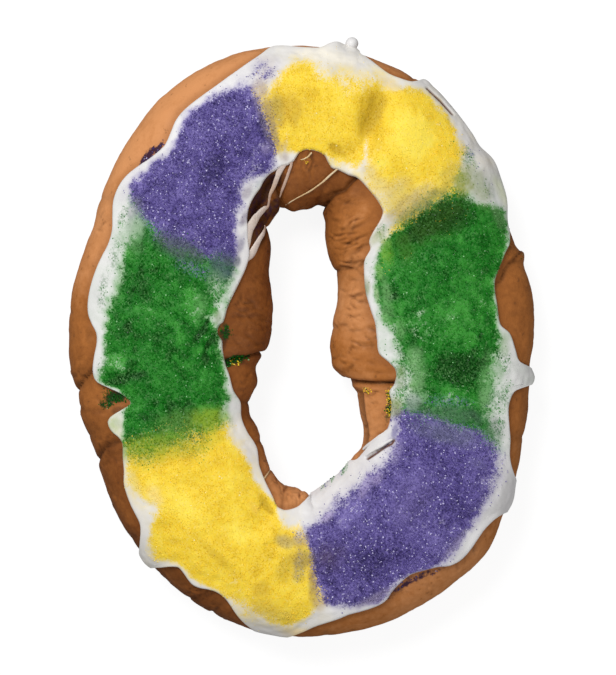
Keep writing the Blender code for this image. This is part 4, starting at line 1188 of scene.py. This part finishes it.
def bled_and_rim_light(degrees, share, x, y, z):
    """Colour of the syrup where two dyes met and of the painted rim light, and how far it hides the grains, 0
    to 1.

    Each patch is laid over the ones before it, torn a little by 4 mm noise.
    """
    torn = 1 + 0.45 * lumps(x, y, z, .004, 26)
    bled_and_light = np.zeros(np.broadcast(degrees, share).shape + (4,))
    for colour, *patch, amount in BLEEDS_AND_RIM_LIGHT:
        here = smooth_step(0, .92, swell(degrees, share, patch + [1.0]) * torn)[..., None] * amount
        bled_and_light = bled_and_light * (1 - here) + here * np.array(colour + (1.0,))
    bled_and_light[..., :3] = bled_and_light[..., :3] / np.maximum(bled_and_light[..., 3:], 1e-4)
    return bled_and_light


def paint_bled_and_rim_light(mesh, bled_and_light):
    """Stores the four numbers of bled_and_rim_light for each vertex."""
    for channel, channel_name in enumerate(BLED_AND_LIGHT_NAMES):
        paint_attribute(mesh, channel_name, bled_and_light[..., channel])


icing_seen = share_from_above(icing_degrees, icing_points)
icing_bled_and_rim_light = bled_and_rim_light(icing_degrees, icing_seen, ix, iy, iz)
paint_bled_and_rim_light(icing_mesh, icing_bled_and_rim_light)
icing_grains, icing_dyes, icing_fields = sugar_fields(icing_degrees, icing_seen, ix, iy, iz)
# The grains lie on top of the lip, and a little of their dye tints its side in patches.
on_top = smooth_step(0.45, 0.9, lip_rise)
patchy = np.clip(layered_lumps(ix, iy, iz, PATCHY_HAZE, 0.5), 0.25, 1.3) * smooth_step(-.2, .8, lip_rise)
for colour_name, haze, grain_density, dye_density, field in zip(
        SUGAR_NAMES, RIM_HAZE, icing_grains, icing_dyes, icing_fields):
    paint_attribute(icing_mesh, colour_name, grain_density * on_top)
    stained = np.maximum(dye_density * (0.35 + 0.65 * on_top), haze * field * patchy)
    paint_attribute(icing_mesh, colour_name + "_dye", stained)
# How much lighter or darker than their middle tone the grains are, painted shade in the creases included.
icing_shift = np.zeros_like(icing_seen)
for patch in SHADE_PATCHES:
    icing_shift = icing_shift + swell(icing_degrees, icing_seen, patch)
# Painted shade along the top's creases.
for line, half_width, shift in CREASE_SHADE_STROKES:
    icing_shift = icing_shift + shift * near_line(ix, iy, line, half_width)
clouds = layered_lumps(ix, iy, iz, CLOUDS) * (1 + GREEN_CLOUDIER * icing_fields[1])
icing_shift = np.clip(SHIFT_GAIN * icing_shift, -SHIFT_LIMIT, SHIFT_LIMIT) + clouds
icing_shift = layered_lumps(ix, iy, iz, FINE_CLOUDS, icing_shift)
paint_attribute(icing_mesh, "shift", icing_shift)
paint_attribute(icing_mesh, "split", icing_slit)

# White icing, satin and faintly creamy. The sugar's dye has bled into it, and over the dye grain-sized cells
# take the colour of single crystals, each a little lighter or darker, with painted shade in the creases,
# standing up as a fine rough bump. A few patches of painted light lie on its outer rim.
ICING_WHITE = (0.84, 0.825, 0.815, 1.0)
ICING_SHADE = (0.74, 0.725, 0.725, 1.0)
SLIT_CRUST_IN_SHADE = (0.120, 0.040, 0.016, 1.0)
# Dark, middle and light crystals of each colour, a pale colour painted on as a glint, and the stain that they
# leave in the icing
SUGAR_TONES = {
    "purple": ((.036, .026, .115, 1), (.105, .078, .285, 1), (.210, .170, .450, 1), (.60, .56, .84, 1)),
    "green": ((.003, .048, .003, 1), (.007, .160, .009, 1), (.055, .330, .042, 1), (.30, .62, .28, 1)),
    "yellow": ((.76, .50, .024, 1), (.92, .650, .040, 1), (1.0, .800, .095, 1), (1.0, .92, .50, 1)),
}
STAINS = {"purple": (.255, .215, .480, 1), "green": (.105, .390, .070, 1), "yellow": (.93, .72, .150, 1)}
# How much one crystal's tone differs from the next
SPECKLE = {"purple": .46, "green": .22, "yellow": .055}
CELL_SCALE = 1150.0

# Crystal colour: a tone from 0 to 1, moved up or down by the speckle, runs through dark, middle and light,
# and only the topmost tones take a pale colour painted on as a glint.
crystal_colour, graph, given, out = new_group(
    "crystal_colour", ("Tone", "Speckle", "Contrast"), ("Dark", "Middle", "Light", "Glint"), (), ("Colour",))
crystal_tone = graph.math("ADD", graph.math("MULTIPLY", given["Speckle"], given["Contrast"]), given["Tone"])
picked = given["Dark"]
for low, high, lighter in ((0.0, 0.5, "Middle"), (0.5, 1.0, "Light"), (1.5, 1.6, "Glint")):
    picked = graph.mix(graph.spread(crystal_tone, low, high), picked, given[lighter])
graph.connect(picked, out.inputs["Colour"])


def lay_bled_and_rim_light(graph, grain, colour):
    """Lays the mixed dyes and the painted rim light over another colour, a little unevenly from grain to
    grain.
    """
    red, green, blue, amount = (graph.read(name) for name in BLED_AND_LIGHT_NAMES)
    mixed = graph.add("CombineColor", Red=red, Green=green, Blue=blue)["Color"]
    return graph.mix(graph.math("MULTIPLY", amount, graph.between(grain, 0.70, 1.0)), colour, mixed)


sugared, graph, shader = new_finish("sugared_icing")
marks = graph.group(mottle, Broad_Scale=60.0, Fine_Scale=420.0, Grit_Scale=1500.0)
cells = graph.add("TexVoronoi", Scale=CELL_SCALE, Vector=graph.add("TexCoord")["Object"])
cell_parts = graph.add("SeparateColor", Color=cells["Color"])
tone = graph.spread(graph.read("shift"), -1.0, 1.0, 0.06, 0.94)
tone = graph.math("ADD", tone, graph.swing(marks["Broad"], 0.06))
speckle = graph.math("ADD", graph.swing(cell_parts["Green"], 0.5), graph.swing(marks["Fine"], 0.3))
colour = graph.mix(marks["Broad"], ICING_WHITE, ICING_SHADE)
loosened = graph.swing(marks["Fine"], 0.20)
for colour_name in ("yellow", "green", "purple"):
    stain = graph.read(colour_name + "_dye")
    uneven = graph.math("ADD", stain, graph.math("MULTIPLY", loosened, stain))
    colour = graph.mix(graph.spread(uneven, 0.0, 0.9, 0.0, 0.94), colour, STAINS[colour_name])
grain_mask = 0.0
for colour_name, channel in (("yellow", "Blue"), ("green", "Green"), ("purple", "Red")):
    dark, middle, light, painted_glint = SUGAR_TONES[colour_name]
    crystal = graph.group(crystal_colour, Tone=tone, Speckle=speckle, Contrast=SPECKLE[colour_name],
                          Dark=dark, Middle=middle, Light=light, Glint=painted_glint)
    here = graph.read(colour_name)
    clotted = graph.math("MULTIPLY", graph.swing(cell_parts[channel], 0.46), graph.spread(here, 0.0, 0.30))
    covered = graph.spread(graph.math("ADD", here, clotted), 0.06, 0.86, 0.0, 0.97)
    colour = graph.mix(covered, colour, crystal["Colour"])
    grain_mask = graph.math("ADD", grain_mask, here)
# Mixed dyes, and patches of painted light on the outer rim.
colour = lay_bled_and_rim_light(graph, marks["Fine"], colour)
# Crust in the slits, painted darker than the crust as shade in the crack.
colour = graph.mix(graph.spread(graph.read("split"), 0.3, 0.95), colour, SLIT_CRUST_IN_SHADE)
grain_height = graph.math("MULTIPLY", graph.spread(cells["Distance"], 0.0, 0.8, 1.0, 0.0), grain_mask)
skin_height = graph.math("ADD", grain_height, graph.math("MULTIPLY", marks["Fine"], 0.5))
graph.fill(shader, Base_Color=colour, Roughness=graph.between(grain_mask, 0.36, 0.55),
           Specular_IOR_Level=0.14, Normal=graph.bump(skin_height, strength=0.18, distance=0.0005))
icing = new_piece(icing_mesh, sugared)
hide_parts("icing")


# Icing strings.
# Where the icing ran over the hollow in the inner wall it stretched into three soft strings, and three
# hair-thin strands stuck to the crust of the hole. Same icing, set in mid-run.
STRING_RINGS, FOLD_RINGS, STRING_SIDES = 64, 48, 14
STRAND_RINGS, STRAND_SIDES = 56, 10
TIP_LENGTH = 0.0014
BEAD_LENGTH = 0.0035
BEAD_SWELL = 0.16
# Each is a line of (degrees, share, height over the dome, half-width, half-thickness), last three in metres
ICING_RUNS = (
    ((94.3, .338, .001, .0018, .0009), (97.1, .289, .0009, .001, .0007), (98.1, .254, .0008, .001, .0007),
     (102.2, .198, .0008, .0009, .0006), (106.2, .16, .0007, .0008, .0006),
     (109.9, .133, .0004, .0006, .0005), (111.7, .121, 0, .0003, .0003)),
    ((100.3, .318, .0009, .0025, .0009), (102.1, .283, .0008, .0022, .0008),
     (105.2, .255, .0008, .0019, .0007), (108.6, .222, .0008, .0015, .0007),
     (112, .198, .0007, .0012, .0006), (116, .182, .0007, .001, .0006),
     (119.1, .159, .0006, .0008, .0006), (121.2, .148, .0005, .001, .0006),
     (123.8, .16, .0006, .002, .0007), (128.9, .173, .0007, .0026, .0008),
     (132.9, .177, .0007, .0028, .0008), (136, .181, .0007, .0029, .0009),
     (139.5, .17, .0006, .0028, .001), (143.5, .158, .0001, .0026, .001)),
    ((128.6, .106, -.0003, .0004, .0003), (129.6, .101, .0002, .0006, .0005),
     (130.8, .099, .0005, .0009, .0006), (132.7, .099, .0008, .0016, .0008),
     (135.8, .106, .0008, .002, .0009), (139, .112, .0008, .0022, .0009),
     (142, .118, .0007, .0024, .001), (144.4, .128, .0004, .0024, .001),
     (147.6, .152, -.0006, .002, .001)),
)
# Two soft folds beside the slit in the lower right of the sheet
ICING_FOLDS = (
    ((326.2, .15, .0002, .0008, .0006), (328.8, .18, .001, .0012, .0009),
     (331.4, .214, .0012, .0014, .001), (334.9, .262, .0012, .0016, .001),
     (337.2, .3, .0007, .0016, .001)),
    ((322.6, .172, .001, .0008, .0008), (325.2, .19, .0014, .0011, .0009),
     (328.2, .224, .0016, .0012, .0009), (331, .262, .0016, .0012, .0009),
     (333.6, .3, .001, .001, .0008)),
)
THIN_STRANDS = (
    ((66.5, .35, .0012, .0008, .0006), (69.4, .312, .0014, .0007, .0005), (71.2, .27, .0011, .0006, .0005),
     (75.2, .19, .0007, .0006, .0005), (79.4, .136, .0005, .0005, .0004), (84.2, .096, .0005, .0005, .0004),
     (91, .068, .0005, .0005, .0004), (99, .056, .0004, .0004, .0003),
     (106, .058, .0003, .0004, .0003), (110.4, .066, .0001, .0003, .0003)),
    ((229.2, .112, .0006, .0006, .0005), (228.4, .082, .0004, .0005, .0004),
     (227.6, .056, .0003, .0004, .0003), (227, .044, .0001, .0003, .0002)),
    ((85.5, .33, .0012, .0006, .0005), (87.5, .3, .0006, .0005, .0004), (90, .284, .0004, .0004, .0003),
     (92, .28, .0002, .0003, .0003)),
)


def smooth_run(line, rings):
    """Points along a smooth curve through the given ones: Catmull-Rom cubics, the end points doubled."""
    line = np.array(line, dtype=float)
    held = np.vstack((2 * line[0] - line[1], line, 2 * line[-1] - line[-2]))
    at = np.linspace(0, len(line) - 1, rings)
    piece = np.minimum(at.astype(int), len(line) - 2)
    part = (at - piece)[:, None]
    before, start, end, after = (held[piece + step] for step in range(4))
    return 0.5 * (2 * start + (end - before) * part + (2 * before - 5 * start + 4 * end - after) * part ** 2
                  + (3 * start - before - 3 * end + after) * part ** 3)


def icing_run(line, rings, sides):
    """Grid of an oval carried along a smooth line over the dome, and drawn in to nothing at both ends."""
    degrees, share, lift, half_width, half_thick = smooth_run(line, rings).T
    angle = dome_angle(degrees, share)
    centre = dome(degrees, angle) + dome_normals(degrees, angle) * lift[:, None]
    forward = unit(np.gradient(centre, axis=0))
    side = unit(np.cross(forward, dome_normals(degrees, angle)))
    up = np.cross(side, forward)
    along = np.concatenate(([0], np.cumsum(np.linalg.norm(np.diff(centre, axis=0), axis=1))))
    to_end = np.minimum(along, along[-1] - along)
    drawn_in = np.sqrt(np.clip(1 - (1 - np.minimum(to_end / TIP_LENGTH, 1)) ** 2, .0016, 1))
    turn = np.linspace(0, 2 * np.pi, sides, endpoint=False)[None, :, None]
    own_row = np.full_like(along, half_width[0] * 1e4)
    beads = 1 + BEAD_SWELL * lumps(along / BEAD_LENGTH, own_row, 0 * along, 1, 41)
    half_width, half_thick = half_width * drawn_in * beads, half_thick * drawn_in
    return (centre[:, None] + side[:, None] * half_width[:, None, None] * np.cos(turn)
            + up[:, None] * half_thick[:, None, None] * np.sin(turn))


def capped_tubes(name, grids):
    """One mesh of several grids of rings of points, each grid closed by a small flat cap at both ends."""
    points, quads, first = [], [], 0
    for grid in grids:
        rings, sides = grid.shape[:2]
        points.append(grid.reshape(-1, 3))
        ring = (first + np.arange(rings - 1) * sides)[:, None]
        side = np.arange(sides)[None, :]
        beside = (side + 1) % sides
        corners = (ring + side, ring + beside, ring + sides + beside, ring + sides + side)
        quads.append(np.stack(corners, -1).reshape(-1, 4))
        strip = np.arange(sides // 2 - 1)
        cap = np.stack((strip, sides - 1 - strip, sides - 2 - strip, strip + 1), -1)
        quads.append(first + cap)
        quads.append(first + (rings - 1) * sides + cap[:, ::-1])
        first = first + rings * sides
    return quad_mesh(name, np.concatenate(points), np.concatenate(quads))


# Thin icing lets the crust show through: it is creamy brown where it is drawn out, whiter where it is thick.
ICING_CREAM = (0.72, 0.62, 0.54, 1.0)
ICING_THIN = (0.57, 0.38, 0.265, 1.0)
ICING_LILAC = (0.42, 0.34, 0.44, 1.0)
drawn_icing, graph, shader = new_finish("drawn_icing")
marks = graph.group(mottle, Broad_Scale=150.0, Fine_Scale=600.0, Grit_Scale=1800.0)
thinned = graph.math("ADD", graph.read("thin"), graph.swing(marks["Fine"], 0.22))
colour = graph.mix(graph.spread(thinned, 0.0, 1.0), ICING_CREAM, ICING_THIN)
colour = graph.mix(graph.spread(marks["Broad"], 0.2, 1.0, 0.0, 0.22), colour, ICING_LILAC)
graph.fill(shader, Base_Color=colour, Roughness=graph.between(marks["Grit"], 0.30, 0.50),
           Specular_IOR_Level=0.22, Normal=graph.bump(marks["Fine"], strength=0.30, distance=0.0005))

string_points = [icing_run(line, STRING_RINGS, STRING_SIDES) for line in ICING_RUNS]
strings_mesh = capped_tubes("icing_strings", string_points)
string_widths = [np.repeat(smooth_run(line, STRING_RINGS)[:, 3], STRING_SIDES) for line in ICING_RUNS]
paint_attribute(strings_mesh, "thin", smooth_step(.0022, .0006, np.concatenate(string_widths)))
icing_strings = new_piece(strings_mesh, drawn_icing)

# One fat drop set as a ball where it hung over the rim: a sphere, lumpy by a few tenths of a millimetre.
DROP_PLACE = (78.25, 1.047, 0.030)
DROP_RADIUS = 0.0041
DROP_SIDES, DROP_RINGS, DROP_POLE = 28, 21, 0.04
drop_middle = np.array((*on_band(*DROP_PLACE[:2]), DROP_PLACE[2]))
drop_turn = np.linspace(0, 2 * np.pi, DROP_SIDES, endpoint=False)[None, :]
drop_tilt = np.linspace(DROP_POLE, np.pi - DROP_POLE, DROP_RINGS)[:, None]
drop_out = np.stack((np.cos(drop_turn) * np.sin(drop_tilt), np.sin(drop_turn) * np.sin(drop_tilt),
                     np.cos(drop_tilt) + 0 * drop_turn), axis=-1)
drop_lumps = lumps(drop_out[..., 0], drop_out[..., 1], drop_out[..., 2], .9, 51)
drop_points = drop_middle + drop_out * (DROP_RADIUS * (1 + 0.05 * drop_lumps))[..., None]
fold_points = [icing_run(line, FOLD_RINGS, STRING_SIDES) for line in ICING_FOLDS]
drop = new_piece(capped_tubes("icing_drop_and_folds", [drop_points] + fold_points), sugared)

# The strands are clear glaze gone cream with the crust's colour showing through.
STRAND_CREAM = (0.80, 0.66, 0.44, 1.0)
STRAND_HONEY = (0.62, 0.40, 0.17, 1.0)
glaze, graph, shader = new_finish("drawn_glaze")
marks = graph.group(mottle, Broad_Scale=90.0, Fine_Scale=500.0, Grit_Scale=1500.0)
graph.fill(shader, Base_Color=graph.mix(marks["Broad"], STRAND_CREAM, STRAND_HONEY),
           Roughness=graph.between(marks["Fine"], 0.16, 0.34))
strand_points = [icing_run(line, STRAND_RINGS, STRAND_SIDES) for line in THIN_STRANDS]
strands = new_piece(capped_tubes("icing_strands", strand_points), glaze)


# Loose sugar.
# Coarse coloured sugar shaken over the wet icing: blocky crystals of 0.2 to 1 mm that lie at every turn,
# thick inside each field, thinning out over its borders, with a few spilt on the crust.
# How many crystals of each colour lie on the icing and on the crust
GRAINS_ON_ICING = {"purple": 15900, "green": 13500, "yellow": 9500}
GRAINS_ON_CRUST = {"purple": 90, "green": 430, "yellow": 220}
# Edge of a crystal in metres, and how much each of its three sides is stretched
GRAIN_SIZES, GRAIN_STRETCH = (0.00040, 0.00078), (0.7, 1.25)
GRAIN_SEED = 500
# Size of a crystal that the wet icing has eaten, as a share
EATEN_SIZE = 0.62
# Share of the dye's density at which single grains lie outside the sugar's edge
STRAY_SHARE = 0.06
# Tone of a crystal: how much the field's shift and its own speckle move it, and the tone of one painted as a
# glint
SHIFT_SHARE, SPECKLE_SHARE, PAINTED_GLINT_TONE = 0.52, 0.36, 2.0
# Random gain or loss of a crystal's strength on the icing. On the crust: its strength, middle tone and spread
STRENGTH_SPREAD = (-.20, .50)
CRUST_STRENGTH, CRUST_TONE, CRUST_SPREAD = .9, .20, .15
# How many of the crystals are painted pale as glints, how much larger those are, and how far a crystal's
# middle stands over the surface, as a share of its size
PAINTED_GLINT_SHARE = {"purple": .055, "green": .011, "yellow": .004}
PAINTED_GLINT_GROWTH = 1.05
LIFT_SHARE = {"purple": .12, "green": .06, "yellow": -.16}
# Crystals on the crust: (degrees, angle over the dome, half-length, half-height, amount)
YELLOW_SPILLS = ((346.2, 2.10, 3.0, .08, .8), (342.0, 2.13, 2.4, .07, .6), (347.4, 2.52, 1.2, .14, .7),
                 (88.6, 1.93, 3.0, .06, .5), (182.6, 2.38, 1.4, .12, .5))
EDGE_CRUMBS = ((300.0, 2.95, 11.0, .18, .8), (286.0, 2.85, 6.0, .14, .5), (17.0, .20, 3.0, .10, .1))
CUBE_CORNERS = np.array([(x, y, z) for x in (-.5, .5) for y in (-.5, .5) for z in (-.5, .5)])
CUBE_FACES = np.array([(0, 1, 3, 2), (4, 6, 7, 5), (0, 4, 5, 1), (2, 3, 7, 6), (0, 2, 6, 4), (1, 5, 7, 3)])


def random_turns(count, dice):
    """Rotation matrices from random unit quaternions."""
    w, x, y, z = dice.normal(size=(4, count))
    length = np.sqrt(w * w + x * x + y * y + z * z)
    w, x, y, z = w / length, x / length, y / length, z / length
    return np.stack((
        np.stack((1 - 2 * (y * y + z * z), 2 * (x * y - w * z), 2 * (x * z + w * y)), -1),
        np.stack((2 * (x * y + w * z), 1 - 2 * (x * x + z * z), 2 * (y * z - w * x)), -1),
        np.stack((2 * (x * z - w * y), 2 * (y * z + w * x), 1 - 2 * (x * x + y * y)), -1)), -2)


def strew(points, density, count, dice, carried):
    """Random places on a grid surface, likelier where density times cell area is larger.

    Place, normal and each carried value are blended between the four corners of the chosen cell.
    """
    ahead, beside = np.roll(points, -1, axis=0), np.roll(points, -1, axis=1)
    cell_normal = np.cross(ahead - points, beside - points)
    weight = (density * np.linalg.norm(cell_normal, axis=-1)).ravel()
    cell = dice.choice(weight.size, size=count, p=weight / weight.sum())
    row, column = np.unravel_index(cell, density.shape)
    along, across = dice.uniform(0, 1, (2, count))
    rows, columns = density.shape
    blended = []
    for values in (points, section_normals(points)) + tuple(carried):
        mixed = 0
        for row_step, row_part in ((0, 1 - along), (1, along)):
            for column_step, column_part in ((0, 1 - across), (1, across)):
                corner = values[(row + row_step) % rows, (column + column_step) % columns]
                part = row_part * column_part
                mixed = mixed + corner * (part[:, None] if values.ndim == 3 else part)
        blended.append(mixed)
    return blended


def crystals(name, places, normals, tones, strength, bled_and_light, lift, dice):
    """One mesh of blocky crystals: at each place a cube, turned at random, stretched, and about half sunk.

    Where the sugar lies thin the wet icing has eaten the crystals: they are smaller, and stained less deeply.
    """
    count = len(places)
    size = dice.uniform(*GRAIN_SIZES, (count, 1, 1)) * dice.uniform(*GRAIN_STRETCH, (count, 1, 3))
    size = size * (EATEN_SIZE + (1 - EATEN_SIZE) * strength)[:, None, None]
    size = size * np.where(tones == PAINTED_GLINT_TONE, PAINTED_GLINT_GROWTH, 1.0)[:, None, None]
    corners = (CUBE_CORNERS[None] * size) @ random_turns(count, dice)
    corners = corners + (places + normals * size.mean(axis=(1, 2))[:, None] * lift)[:, None, :]
    corner_count = len(CUBE_CORNERS)
    faces = (np.arange(count)[:, None, None] * corner_count + CUBE_FACES[None]).reshape(-1, 4)
    mesh = quad_mesh(name, corners.reshape(-1, 3), faces)
    mesh.shade_flat()
    paint_attribute(mesh, "tone", np.repeat(tones, corner_count))
    paint_attribute(mesh, "strength", np.repeat(strength, corner_count))
    paint_bled_and_rim_light(mesh, np.repeat(bled_and_light, corner_count, axis=0))
    return mesh


def crystal_finish(colour_name):
    """Hard clear sugar: its tone picks its colour, the topmost a painted glint; its faces are smooth enough
    to glint.
    """
    finish, graph, shader = new_finish(colour_name + "_crystal")
    dark, middle, light, painted_glint = SUGAR_TONES[colour_name]
    marks = graph.group(mottle, Broad_Scale=100.0, Fine_Scale=900.0, Grit_Scale=2000.0)
    picked = graph.group(crystal_colour, Tone=graph.read("tone"), Speckle=marks["Fine"], Contrast=0.05,
                         Dark=dark, Middle=middle, Light=light, Glint=painted_glint)
    whole = graph.spread(graph.read("strength"), 0.0, 0.8, 0.25, 1.0)
    colour = graph.mix(whole, STAINS[colour_name], picked["Colour"])
    graph.fill(shader, Base_Color=lay_bled_and_rim_light(graph, marks["Fine"], colour),
               Roughness=graph.between(marks["Fine"], 0.14, 0.34), Specular_IOR_Level=0.12)
    return finish


# Loose grains lie on top of the icing, not on the side of its lip or under it.
top_only = (lip_rise > 0.6) * 1.0 + 0 * icing_degrees
crust_spills = {"purple": PURPLE_SPILLS + EDGE_CRUMBS, "green": GREEN_SPILLS + EDGE_CRUMBS,
                "yellow": YELLOW_SPILLS}
for number, colour_name in enumerate(SUGAR_NAMES):
    dice = np.random.default_rng(GRAIN_SEED + number)
    density = (icing_grains[number] + STRAY_SHARE * icing_dyes[number]) * top_only
    on_icing, icing_up, shift, strength, bled_and_light = strew(
        icing_points, density, GRAINS_ON_ICING[colour_name], dice,
        (icing_shift, icing_grains[number], icing_bled_and_rim_light))
    spill = patch_amount(dough_degrees, wall_turn, crust_spills[colour_name]) ** 2
    on_crust, crust_up = strew(dough_points, spill + 1e-9, GRAINS_ON_CRUST[colour_name], dice, ())
    places, normals = np.concatenate((on_icing, on_crust)), np.concatenate((icing_up, crust_up))
    speckle = SPECKLE_SHARE * SPECKLE[colour_name] * dice.normal(0, 1, len(on_icing))
    crust_tones = dice.normal(CRUST_TONE, CRUST_SPREAD, len(on_crust))
    tones = np.concatenate((0.5 + SHIFT_SHARE * shift + speckle, crust_tones))
    # A few crystals are painted pale as glints.
    painted_glints = dice.uniform(0, 1, len(tones)) < PAINTED_GLINT_SHARE[colour_name]
    tones = np.where(painted_glints, PAINTED_GLINT_TONE, np.clip(tones, 0, 1.0))
    strength = np.clip(strength + dice.uniform(*STRENGTH_SPREAD, len(strength)), .10, 1)
    strength = np.concatenate((strength, np.full(len(on_crust), CRUST_STRENGTH)))
    bled_and_light = np.concatenate((bled_and_light, np.zeros((len(on_crust), 4))))
    lift = LIFT_SHARE[colour_name]
    grain_mesh = crystals(colour_name + "_sugar", places, normals, tones, strength, bled_and_light, lift, dice)
    grains = new_piece(grain_mesh, crystal_finish(colour_name))
